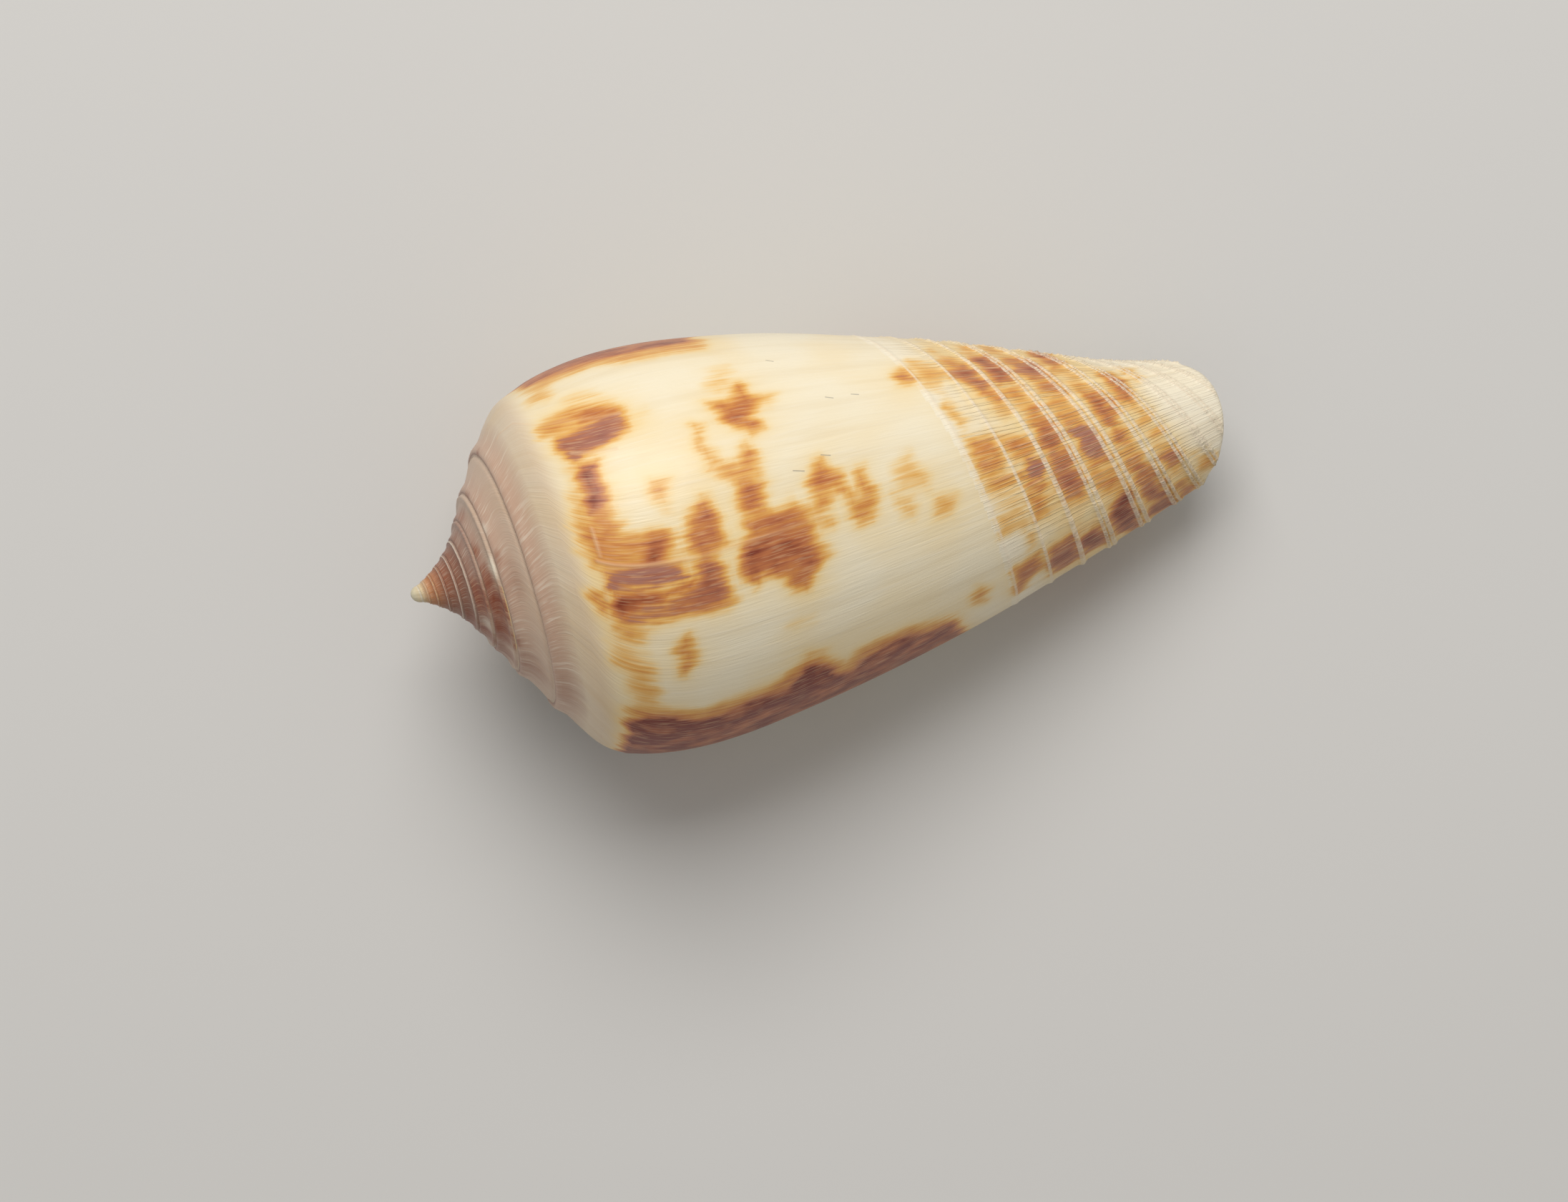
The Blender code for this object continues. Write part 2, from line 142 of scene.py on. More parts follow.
# Marks of the seen side. Each row has a mark's strength, its share of dusk, and the corners of its
# outline by turn in degrees and station
MARKS = (
    (0.5, 0, 129, 8.8, 126, 10.1, 123, 10.7, 121, 11.5, 114, 12.8, 111, 12.4, 114, 9.4, 116, 9.0),
    (0.3, 0, 137, 8.7, 124, 10.8, 121, 13.0, 118, 14.2, 108, 13.7, 113, 9.0, 122, 8.2),
    (0.56, 0, 168, 8.3, 168, 10.2, 165, 12.0, 163, 12.6, 159, 12.9, 160, 9.0, 162, 8.4),
    (0.7, 0, 163, 10.3, 164, 11.0, 163, 12.0, 161, 12.7, 159, 12.8, 160, 10.5),
    (0.86, 0.7, 159, 9.0, 158, 10.1, 158, 12.5, 155, 13.0, 153, 12.8, 151, 12.1, 149, 9.8, 149, 9.4,
     158, 8.8),
    (0.86, 0.15, 146, 9.6, 145, 10.5, 135, 10.4, 134, 10.6, 132, 10.2, 131, 9.6, 134, 9.3),
    (0.62, 0, 132, 9.4, 131, 10.4, 128, 10.7, 125, 10.4, 127, 9.3),
    (0.28, 0, 150, 9.3, 147, 9.9, 139, 9.6, 126, 9.4, 129, 8.2, 136, 8.5, 143, 9.0),
    (0.36, 0, 192, 8.7, 190, 9.6, 184, 10.0, 177, 9.5, 180, 8.6),
    (0.26, 0, 173, 10.1, 174, 10.9, 171, 11.8, 165, 12.6, 160, 13.0, 166, 11.7, 167, 10.6),
    (0.5, 0, 135, 12.9, 134, 13.8, 132, 13.8, 129, 13.5, 129, 13.0),
    (0.24, 0, 130, 13.1, 129, 13.6, 125, 13.6, 125, 13.2),
    (0.2, 0, 157, 13.2, 158, 14.2, 155, 14.3, 153, 13.3),
    (0.56, 0, 214, 8.4, 214, 11.5, 210, 13.8, 210, 16.4, 191, 19.3, 182, 18.7, 182, 16.6, 182, 14.3,
     186, 12.4, 187, 9.9, 192, 8.8),
    (0.72, 0, 154, 17.4, 154, 18.5, 156, 19.1, 160, 19.5, 159, 19.8, 155, 19.9, 152, 20.2, 149, 19.9,
     147, 19.4, 145, 19.8, 143, 19.8, 142, 19.2, 144, 18.9, 145, 18.3, 150, 17.9),
    (0.4, 0, 154, 20.2, 154, 21.2, 150, 20.8, 150, 20.1),
    (0.24, 0, 168, 18.3, 169, 19.5, 159, 19.4, 157, 18.2, 160, 17.7),
    (0.55, 0, 148, 16.2, 147, 16.5, 140, 16.4, 138, 16.8, 135, 16.8, 134, 16.4, 136, 16.1),
    (0.52, 0, 139, 18.8, 132, 19.0, 129, 19.0, 129, 17.9, 131, 16.9, 133, 16.6, 135, 16.9, 134, 17.8),
    (0.66, 0, 136, 18.3, 138, 18.7, 136, 18.9, 134, 18.9, 134, 18.3),
    (0.68, 0, 128, 17.5, 128, 18.2, 126, 18.8, 118, 18.7, 118, 17.7, 119, 17.3),
    (0.58, 0, 119, 18.8, 118, 19.4, 119, 20.2, 116, 21.0, 114, 22.0, 113, 21.0, 114, 18.3),
    (0.8, 0.1, 118, 17.2, 117, 20.1, 114, 20.9, 112, 21.1, 110, 20.7, 106, 21.0, 101, 20.9, 97, 20.6,
     94, 20.0, 95, 19.2, 99, 18.8, 102, 17.6, 100, 17.1, 103, 16.6, 107, 16.6, 111, 16.7, 114, 17.4),
    (0.64, 0, 128, 22.1, 129, 22.5, 125, 22.7, 123, 23.4, 116, 23.9, 118, 24.1, 123, 24.2, 123, 24.6,
     114, 25.0, 110, 24.9, 108, 24.4, 108, 23.6, 115, 23.2, 118, 22.9, 117, 22.4, 115, 22.2, 114, 21.5,
     117, 21.3, 120, 21.5, 123, 21.4),
    (0.48, 0, 113, 21.5, 112, 22.3, 110, 22.1, 110, 21.5),
    (0.56, 0, 107, 21.0, 105, 21.3, 102, 21.6, 100, 21.0, 103, 20.7),
    (0.78, 0.1, 125, 15.2, 125, 15.6, 123, 15.8, 119, 15.9, 113, 16.2, 112, 14.5, 114, 14.0, 118, 14.0,
     122, 14.3),
    (0.4, 0, 128, 15.2, 127, 15.6, 125, 15.6, 125, 15.2),
    (0.66, 0, 120, 11.7, 121, 12.3, 120, 13.1, 117, 13.1, 115, 12.4, 112, 12.2, 112, 11.3),
    (0.7, 0.35, 110, 14.2, 111, 15.4, 101, 15.6, 98, 15.1, 97, 14.6, 97, 13.0, 99, 12.2, 102, 12.6,
     104, 13.8),
    (0.5, 0, 130, 8.6, 128, 9.7, 123, 9.7, 114, 9.2, 113, 10.2, 114, 10.8, 116, 11.9, 117, 12.9, 118, 13.3,
     113, 12.8, 111, 13.0, 114, 9.4, 115, 8.7, 122, 8.9, 128, 8.5),
    (0.5, 0, 122, 9.5, 117, 11.9, 115, 11.6, 114, 10.2, 115, 9.3),
    (0.7, 0, 121, 12.2, 120, 13.0, 116, 13.1, 114, 12.6, 112, 12.7, 112, 11.9, 115, 11.6),
    (0.62, 0, 128, 9.7, 126, 10.9, 123, 10.4, 123, 9.7),
    (0.92, 1, 113, 9.3, 112, 11.9, 111, 13.1, 107, 13.7, 108, 9.7, 109, 9.2),
    (1, 0, 108, 9.4, 104, 12.3, 106, 13.6, 104, 13.7, 102, 10.9, 100, 9.9, 101, 9.3),
    (0.72, 0.7, 100, 9.3, 102, 11.6, 101, 13.0, 99, 13.1, 98, 12.4, 96, 10.4, 97, 9.5, 98, 9.3),
    (0.66, 0.4, 110, 14.1, 111, 15.1, 108, 15.3, 104, 15.4, 98, 15.8, 96, 15.3, 96, 14.6, 97, 13.2,
     96, 11.0, 100, 13.3, 101, 13.0, 104, 13.7, 106, 14.1),
    (0.66, 0, 108, 8.3, 109, 8.7, 108, 9.1, 101, 8.9, 102, 8.6, 105, 8.3),
    (0.55, 0, 96, 9.3, 95, 10.6, 94, 10.4, 93, 9.8, 94, 9.4),
    (0.33, 0, 94, 8.7, 93, 10.5, 90, 10.3, 85, 10.8, 82, 10.6, 78, 10.8, 73, 10.7, 74, 9.3, 81, 9.5,
     84, 8.8, 89, 8.7),
    (0.64, 0, 88, 12.2, 91, 12.8, 86, 13.2, 84, 13.1, 79, 12.4, 86, 12.1),
    (0.33, 0, 84, 9.5, 84, 10.7, 68, 10.8, 68, 9.5, 78, 9.5),
    (0.28, 0, 84, 18.6, 85, 19.4, 85, 20.2, 84, 20.0, 83, 18.9),
    (0.3, 0, 121, 26.4, 124, 27.5, 118, 28.1, 112, 28.2, 113, 26.2),
    (0.34, 0, 114, 25.9, 110, 27.0, 104, 26.9, 106, 26.2),
    (0.44, 0, 108, 28.3, 106, 29.5, 101, 29.1, 102, 28.2),
    (0.64, 0.2, 156, 28.5, 158, 29.0, 157, 29.4, 152, 29.4, 150, 28.9, 151, 28.4),
    (0.36, 0, 165, 29.6, 159, 31.0, 153, 31.4, 148, 30.8, 148, 29.9, 154, 29.6),
    (0.52, 0, 138, 30.6, 136, 30.9, 132, 31.2, 130, 30.9, 133, 30.6),
    (0.26, 0, 148, 30.3, 145, 30.8, 131, 31.2, 127, 31.0, 138, 30.5),
    (0.58, 0, 124, 30.9, 122, 31.6, 122, 32.6, 114, 32.9, 116, 31.3),
    (0.62, 0, 115, 31.3, 114, 32.6, 112, 32.9, 109, 32.8, 109, 31.4),
    (0.5, 0, 109, 31.5, 107, 33.0, 102, 33.4, 101, 31.9, 104, 31.5),
    (0.5, 0, 172, 31.4, 167, 32.1, 160, 32.7, 155, 33.0, 155, 31.7, 161, 31.4),
    (0.82, 0.35, 155, 31.6, 158, 32.6, 154, 33.1, 148, 33.5, 144, 33.6, 142, 32.9, 152, 31.8),
    (0.6, 0, 143, 32.7, 143, 33.6, 138, 34.1, 132, 34.2, 133, 33.6),
    (0.52, 0, 121, 33.0, 118, 34.6, 115, 34.9, 110, 34.5, 111, 33.6, 115, 33.3),
    (0.5, 0, 180, 33.3, 172, 34.0, 164, 34.4, 165, 33.3),
    (0.88, 0.25, 166, 33.5, 168, 34.4, 158, 34.7, 148, 35.3, 146, 35.2, 145, 34.3, 156, 33.7),
    (0.52, 0, 144, 34.1, 145, 35.4, 136, 35.8, 122, 36.4, 123, 35.3),
    (0.8, 0.1, 123, 35.3, 122, 36.3, 110, 36.9, 109, 36.0, 113, 35.5),
    (0.77, 0.4, 108, 35.6, 108, 36.9, 90, 37.5, 86, 37.5, 87, 36.2, 94, 35.8),
    (0.45, 0, 190, 34.8, 178, 35.5, 167, 35.8, 169, 34.6),
    (0.68, 0, 167, 35.2, 168, 36.2, 163, 36.8, 158, 36.0, 160, 35.4),
    (0.86, 0.55, 158, 35.5, 161, 36.8, 156, 37.2, 148, 37.2, 149, 36.1, 152, 35.7),
    (0.7, 0.1, 148, 36.2, 148, 37.5, 140, 37.8, 134, 37.9, 138, 36.7),
    (0.42, 0, 137, 36.3, 134, 37.9, 126, 38.3, 119, 38.5, 120, 37.4),
    (0.58, 0, 123, 37.1, 121, 38.2, 118, 38.5, 116, 38.0, 118, 37.4),
    (0.82, 0.1, 186, 37.5, 185, 38.3, 157, 38.8, 154, 38.1, 172, 37.3),
    (0.38, 0, 153, 38.0, 154, 39.1, 133, 39.6, 135, 38.8, 144, 38.2),
    (0.26, 0, 99, 31.6, 99, 33.2, 92, 33.6, 88, 33.6, 92, 31.8),
    (0.44, 0, 93, 31.7, 88, 33.5, 85, 33.6, 86, 32.9, 85, 31.9),
    (0.74, 0.1, 69, 32.5, 69, 34.1, 63, 34.5, 60, 34.3, 58, 33.6, 53, 33.3, 52, 32.8, 62, 32.5),
    (0.52, 0, 66, 29.7, 69, 30.2, 65, 30.8, 59, 30.7, 60, 30.0),
    (0.8, 1, 110, 34.3, 108, 35.1, 104, 35.3, 100, 35.0, 102, 34.4, 106, 34.1),
    (0.66, 0.3, 105, 33.8, 102, 34.5, 97, 34.9, 95, 34.6, 98, 33.9, 101, 33.8),
    (0.66, 0, 96, 34.0, 94, 34.6, 87, 34.9, 85, 34.2, 91, 33.9),
    (0.34, 0, 95, 34.7, 89, 35.5, 86, 35.7, 86, 34.9),
    (0.46, 0, 84, 33.4, 81, 33.7, 76, 33.9, 76, 33.7, 81, 33.4),
    (0.86, 0.5, 68, 34.7, 70, 36.4, 58, 36.8, 51, 37.2, 50, 35.9, 52, 35.2, 62, 34.8),
    (0.92, 0.35, 64, 37.0, 66, 37.6, 66, 38.3, 49, 38.9, 50, 37.5, 59, 37.0),
    (0.86, 1, 115, 37.4, 116, 38.2, 114, 38.7, 98, 39.4, 100, 38.3, 104, 37.9),
    (0.64, 0.1, 100, 38.0, 99, 39.2, 95, 39.5, 94, 38.3),
    (0.5, 0, 93, 38.2, 92, 39.6, 80, 40.2, 80, 39.1, 80, 38.4),
    (0.96, 0.3, 73, 39.0, 77, 39.8, 76, 40.3, 53, 41.0, 35, 41.4, 56, 39.4, 67, 39.0),
    (0.82, 0, 133, 39.0, 132, 39.8, 116, 40.4, 110, 40.4, 112, 39.8, 126, 39.1),
    (0.76, 0.2, 111, 40.0, 107, 40.6, 101, 41.0, 98, 40.8, 101, 40.1),
    (0.58, 0.2, 97, 40.1, 97, 41.2, 93, 41.4, 90, 40.9, 93, 40.4),
    (0.66, 0.3, 90, 40.5, 88, 41.4, 79, 42.0, 72, 42.0, 78, 41.0, 84, 40.6),
    (0.84, 0.4, 78, 40.9, 74, 42.1, 62, 42.6, 55, 42.8, 62, 41.7),
    (0.96, 0.2, 57, 41.7, 57, 42.6, 55, 43.3, 35, 43.9, 42, 42.4, 49, 41.9),
    (0.74, 0, 131, 40.0, 124, 40.5, 116, 40.7, 117, 40.5, 122, 40.2),
    (0.8, 0, 147, 40.6, 144, 41.3, 139, 41.6, 124, 42.1, 119, 41.7, 123, 41.3, 138, 40.7),
    (0.4, 0, 119, 41.5, 118, 42.1, 111, 42.7, 106, 42.6, 106, 42.1),
    (0.46, 0, 100, 42.4, 101, 43.0, 97, 43.0, 96, 42.5),
    (0.66, 0.5, 80, 41.9, 77, 42.5, 57, 43.2, 59, 42.8, 71, 42.3),
    (0.5, 0, 150, 42.2, 149, 42.8, 142, 42.9, 138, 42.6, 142, 42.3),
    (0.28, 0, 95, 42.4, 89, 43.5, 84, 43.5, 86, 42.7),
    (0.72, 0.5, 84, 42.7, 85, 43.6, 80, 43.8, 74, 43.6, 76, 43.0),
    (0.34, 0, 75, 43.2, 66, 44.5, 58, 44.7, 63, 43.7),
    (0.74, 0.1, 61, 43.7, 59, 44.4, 50, 45.0, 34, 45.1, 42, 44.2),
    (0.42, 0.1, 74, 44.9, 73, 45.7, 65, 46.3, 57, 46.2, 60, 45.5),
    (0.86, 0.1, 214, 8.2, 214, 12.0, 211, 16.4, 204, 19.0, 190, 18.2, 188, 15.5, 190, 13.4, 195, 9.0),
    (0.94, 0, 63, 9.2, 64, 10.1, 60, 13.2, 60, 14.3, 62, 16.0, 62, 18.1, 64, 18.8, 68, 19.4, 68, 20.0,
     64, 20.7, 58, 21.3, 56, 22.2, 60, 22.8, 61, 23.7, 62, 25.7, 58, 27.1, 57, 28.6, 34, 30.0, 28, 18.0,
     26, 12.0, 27, 9.0),
    (0.54, 0, 67, 9.0, 69, 9.9, 64, 13.3, 67, 17.9, 73, 19.4, 71, 20.4, 62, 21.7, 66, 22.6, 66, 25.7,
     63, 27.1, 60, 28.6, 34, 30.0, 28, 18.0, 26, 12.0, 27, 9.0),
    (1, 0, 60, 9.4, 62, 9.9, 62, 11.1, 57, 14.2, 55, 13.9, 55, 12.3, 48, 11.3, 46, 10.0, 31, 10.5, 30, 9.2),
    (1, 0, 65, 19.4, 64, 20.2, 58, 20.9, 55, 20.2, 55, 19.0, 57, 17.7),
)
# The far side, which no photograph shows, has some of them again: those between the first two turns,
# at the third turn plus or minus their own
REPEATS = ((72, 180, 406, -1), (98, 128, -100, 1))
FAR_STRENGTH = 0.95
FEATHER = 0.10
FEATHER_PITCH = 0.9
EDGE_DRAW = 2.2
LONG_PITCH = 2.2
MARK_SOFT = 0.95
FAINT_SOFT = 0.8
GLOW_SHARE = 0.26
GLOW_FADE = 0.6
HALO_REACH = 5.0
HALO_FADE = 1.15
# The waves in a mark's uneven edge: height, pitch and how far the seed shifts each
WANDER = ((1.0, 3.1, 1.0), (0.6, 7.3, 2.1), (0.4, 17.9, 3.7))
LONG_SEED = 5
# Spots on the ramps: turn in degrees, share of the ramp, half length and half width, strength, dusk
SPOTS = (
    (818, 0.62, 1.3, 0.8, 1.0, 0.0), (796, 0.45, 1.0, 0.85, 0.95, 0.0), (768, 0.5, 0.8, 0.8, 0.72, 0.0),
    (748, 0.35, 0.8, 0.6, 0.6, 0.0), (838, 0.30, 0.8, 0.45, 0.8, 0.1), (1180, 0.55, 1.1, 0.6, 0.85, 0.1),
    (1130, 0.5, 0.9, 0.7, 0.85, 0.2), (1480, 0.5, 0.7, 0.5, 0.8, 0.0), (1500, 0.5, 0.5, 0.5, 0.7, 0.0),
    (436, 0.12, 0.4, 0.14, 0.62, 0.3), (789, 0.95, 0.3, 0.2, 0.85, 0.3), (195, 0.08, 0.32, 0.12, 0.66, 0.2),
    (863, 0.16, 0.45, 0.2, 0.6, 0.0), (490, 0.2, 0.42, 0.16, 0.35, 0.0), (548, 0.08, 0.5, 0.12, 0.5, 0.4),
    (476, 0.45, 1.2, 0.50, 0.22, 0.0), (418, 0.40, 1.6, 0.9, 0.30, 0.7), (401, 0.10, 0.6, 0.2, 0.45, 0.2),
    (910, 0.30, 0.60, 0.30, 0.40, 0.2), (930, 0.1, 0.6, 0.2, 0.5, 0.1), (60, 0.35, 1.8, 0.8, 0.22, 0.5),
    (265, 0.15, 0.30, 0.12, 0.50, 0.2), (590, 0.92, 0.45, 0.2, 0.45, 0.1), (700, 0.60, 0.8, 0.5, 0.45, 0.2),
)
WHITE_SPOTS = (
    (846, 0.86, 0.55, 0.34, 0.7, 0), (510, 0.12, 0.35, 0.12, 0.5, 0), (1150, 0.6, 0.4, 0.3, 0.4, 0),
)
RAMP_SHARE = 0.3
SPOT_ROUGH = 0.18
SPOT_SOFT = 1.5
SPOT_PITCH = (3, 4)
SHOULDER_SLACK = 0.02
ROUNDED_SHARES = (0.62, 2.4)
ROUNDED_TURNS = (-1.0, radians(290))
ROUNDING_PASSES = 60
ROUNDING_STEP = 0.5
GROWTH_BEND = radians(13)
BEND_FADE = 1.5

# Relief and finish. A noise has its sizes in millimetres across and along the growth lines, then its detail
RELIEF_SIZES = ("Cord Height", "Cord Width", "Pair Gap", "Wave Height")
RADIAN_MM = 10.0
NOISES = {
    "threads": (0.16, 3.2, 2.0),
    "hairs": (0.085, 1.3, 1.0),
    "bands": (0.9, 13.0, 2.0),
    "clouds": (5.0, 6.0, 1.0),
    "arcs": (0.3, 1.4, 2.0),
    "wrinkles": (0.14, 0.3, 2.0),
    "patches": (1.0, 1.8, 2.0),
    "wash": (1.6, 1.8, 2.0),
    "knots": (0.35, 1.2, 2.0),
    "waves": (1.3, 26.0, 2.0),
}
# Where an effect begins and where it is full, and what it is at these two if not 0 and 1
RANGES = {
    "paired cords": (1.2, 3.6),
    "knots": (0.3, 0.7, 0.65, 1.35),
    "cord zone": (0.05, 0.35),
    "cord edge": (0.16, 0.5),
    "calm tip": (0.0, 0.5, 0.4, 1.0),
    "clouds": (0.4, 0.7, 0.0, 0.25),
    "bands": (0.45, 0.75, 0.0, 0.2),
    "threads": (0.5, 0.75, 0.0, 0.22),
    "early spire": (3.4, 2.7),
    "inner turns": (4.2, 3.4),
    "older turns": (5.5, 6.6),
    "older ramp": (0.9, 0.15, 0.78, 1.0),
    "last ramp": (0.15, 0.75, 1.0, 0.4),
    "shoulder": (1.0, 2.3, 0.0, -0.4),
    "spire hairs": (0.5, 0.7, 0.0, 0.16),
    "arc start": (0.03, 0.2),
    "arc end": (0.75, 0.3),
    "arcs": (0.56, 0.7, 0.0, 0.3),
    "suture": (0.10, 0.02, 0.0, 0.8),
    "suture start": (0.6, 1.0),
    "pale line": (0.065, 0.015),
    "wash": (0.38, 0.62, 0.04, 0.17),
    "ramp": (1.0, 0.98),
    "mark edge": (0.03, 0.3),
    "dusk": (0.45, 0.75),
    "dusk threads": (0.35, 0.65, 0.45, 1.0),
    "pale hairs": (0.52, 0.7),
    "hairs on marks": (0.2, 0.55, 0.0, 0.28),
    "ribs": (0.2, 0.95),
    "rib hairs": (0.35, 0.6, 0.35, 1.0),
    "ribs on marks": (0.1, 0.6, 0.1, 0.42),
    "worn cords": (0.3, 0.62, 0.5, 1.0),
    "worn bands": (0.3, 0.6, 0.7, 1.0),
    "rest bands": (0.35, 0.6, 0.3, 1.0),
}
WARM_SHARE = 0.8
FRONT_WARMTH = 0.42
TIP_SHARE = 0.6
PALE_LINE = 0.93
PALE_LINE_SHARE = 0.7
THREAD_PULL = 0.5
BAND_PULL = 0.45
PATCH_PULL = 0.5
RIBS = 170.0
RIB_WARP = 22.0
CORD_SHARE = 0.86
# Spire colours by station, as a share of the first value in millimetres
SPIRE_STEPS_MM = 9.0
SPIRE_STEPS = (
    (0.0, (228, 218, 186)),
    (0.062, (224, 200, 156)),
    (0.11, (194, 128, 78)),
    (0.20, (144, 84, 56)),
    (0.31, (134, 88, 68)),
    (0.38, (164, 128, 110)),
    (0.55, (198, 164, 140)),
    (1.0, (188, 148, 122)),
)
MARK_STEPS = {"butter": 0.0, "straw": 0.22, "ochre": 0.42, "amber": 0.6, "brown": 0.8, "umber": 1.0}
# Old rest lines and scratches, by the turn in degrees and station of their ends
REST_LINES = (
    ((113.0, 21.76), (111.4, 15.57)),
    ((111.4, 15.57), (112.0, 11.29)),
    ((112.0, 11.29), (112.3, 9.10)),
    ((164.5, 6.51), (161.6, 8.63)),
    ((161.6, 8.63), (158.3, 12.71)),
    ((148.1, 9.52), (146.7, 11.81)),
    ((122.6, 9.25), (114.4, 9.30)),
    ((108.7, 9.29), (100.8, 9.04)),
)
REST_WIDTH = 0.17
REST_SHARE = 0.55
SCRATCHES = (
    ((169.6, 21.72), (168.5, 22.06)),
    ((149.3, 23.99), (148.5, 24.39)),
    ((149.0, 25.49), (148.4, 25.89)),
    ((127.6, 20.77), (126.7, 21.37)),
    ((130.2, 22.57), (129.4, 23.07)),
)
SCRATCH_WIDTH = 0.05
SCRATCH_SHARE = 0.8
INSIDE_SHARE = 0.85
INSIDE_CALM = 0.8
BUMPS = {"threads": 0.5, "hairs": 0.25, "ribs": 1.1, "wrinkles": 1.0, "rests": 0.8, "scratches": -0.6}
BUMP_MM = 0.03
ROUGHNESS = 0.33
FRONT_ROUGHNESS = 0.12
THREAD_ROUGHNESS = 0.12
COAT_ROUGHNESS = 0.16
SHELL_IOR = 1.38

# Stage
FLOOR_HALF = 2.0
FLOOR_ROUGHNESS = 0.9
KEY_SIZE = 0.24
KEY_PLACE = (0.03, 0.22, 0.32)
SIDE_SIZE = 0.3
SIDE_PLACE = (0.25, -0.30, 0.25)
CAMERA_LENS = 100
CAMERA_SENSOR = 36
CAMERA_NEAR = 0.001
CAMERA_TURN = radians(-15.5)
CAMERA_FROM_APEX = (0.020014, -0.005853, 0.2557)


def smooth(x, xs, ys):
    """A curve through the points (xs, ys) with no corner at any of them."""
    xs = np.asarray(xs, float)
    ys = np.asarray(ys, float)
    x = np.clip(x, xs[0], xs[-1])
    step = np.diff(xs)
    rise = np.diff(ys) / step
    inner = (rise[:-1] * step[1:] + rise[1:] * step[:-1]) / (step[1:] + step[:-1])
    slope = np.concatenate([rise[:1], inner, rise[-1:]])
    i = np.clip(np.searchsorted(xs, x, side="right") - 1, 0, len(step) - 1)
    t = (x - xs[i]) / step[i]
    value = ys[i] * (1 + 2 * t) * (1 - t) ** 2 + ys[i + 1] * t * t * (3 - 2 * t)
    return value + step[i] * t * (1 - t) * (slope[i] * (1 - t) - slope[i + 1] * t)


def ease(t):
    """From 0 to 1 with no corner at either end."""
    t = np.clip(t, 0, 1)
    return t * t * (3 - 2 * t)


def bump(x, middle, width):
    """1 at the middle, and about a third of it this width away."""
    return np.exp(-(((x - middle) / width) ** 2))


def spiral_line(turn):
    """Station and radius of the shoulder at this turn, which is the suture a turn further in."""
    radius = SHOULDER_RADIUS * TURN_GROWTH ** (-turn / tau)
    return smooth(radius, SPIRE_RADII, SPIRE_STATIONS), radius


def rim_station(turn):
    """Station of the front rim, and past PILLAR_TURNS of the pillar's end."""
    fall = (1 - np.cos(turn - RIM_CREST)) / RIM_LEVEL
    rim = RIM_STATION - RIM_FALL * RIM_LEVEL * np.tanh(fall)
    start, full = PILLAR_TURNS
    return rim + (PILLAR_STATION - rim) * ease((turn - start) / (full - start))


def body_radius(turn, station):
    """Radius of the last turn's outside, without its cords."""
    shoulder = spiral_line(turn)[0]
    w = np.clip((station - shoulder) / (FRONT_STATION - shoulder), 0, 1)
    growth = np.log(smooth(w, GROWTH_PLACES, GROWTH_RATIOS)) / tau
    drawn_in = turn - ease(w) * np.sin(turn)
    radius = smooth(w, LIP_PLACES, LIP_RADII) * np.exp(-growth * drawn_in)
    return np.hypot(radius, PILLAR_RADIUS * ease(w))


def body_point(turn, share):
    """Turn, station and radius of points this share of the way from the shoulder to the rim."""
    turn = turn - LIP_SWEEP * np.sin(pi * share)
    shoulder = spiral_line(turn)[0]
    station = shoulder + (rim_station(turn) - shoulder) * share
    return turn, station, body_radius(turn, station)


def ramp_point(turn, share):
    """Turn, station and radius of points this share of the way from a suture to the next one."""
    turn = turn + SINUS * np.sin(pi * share)
    inner = spiral_line(turn + tau)
    outer = spiral_line(turn)
    along = outer[0] - inner[0]
    out = outer[1] - inner[1]
    early = ease((turn - RIDGE_START) / tau)
    covered = ease((turn - OPEN_TURN) / (tau - OPEN_TURN))
    lift = SWELL_HEIGHT * bump(share, SWELL_PLACE, SWELL_WIDTH)
    lift = lift + RIDGE_HEIGHT * bump(share, RIDGE_PLACE, RIDGE_WIDTH) * early
    lift = lift - RAMP_HOLLOW * np.sin(pi * share)
    lift = lift - SUTURE_DEPTH * bump(share, 0, SUTURE_WIDTH)
    lift = lift - SUTURE_DEPTH * bump(share, 1, SUTURE_WIDTH) * covered
    return turn, inner[0] + along * share - out * lift, inner[1] + out * share + along * lift


def inside_point(turn, ramp_shares, body_shares):
    """The shell's section at this turn, moved inwards by the wall and kept off the pillar."""
    ramp = ramp_point(turn, np.array([0.0, *ramp_shares, 1.0]))
    body = body_point(turn, body_shares)
    section = np.stack([np.concatenate(pair) for pair in zip(ramp, body)], axis=-1)
    along = np.gradient(section[:, 1:], axis=0)
    along /= np.linalg.norm(along, axis=1)[:, None]
    wall = LIP_WALL + (WALL - LIP_WALL) * ease(turn / WALL_TURN)
    stations = section[:, 1] + along[:, 1] * wall
    stations[-1] = section[-1, 1]
    radii = section[:, 2] - along[:, 0] * wall
    pillar = body_radius(section[:, 0] + tau, stations)
    radii = np.maximum(radii, pillar + PILLAR_CLEAR)
    return section[1:, 0], stations[1:], radii[1:]


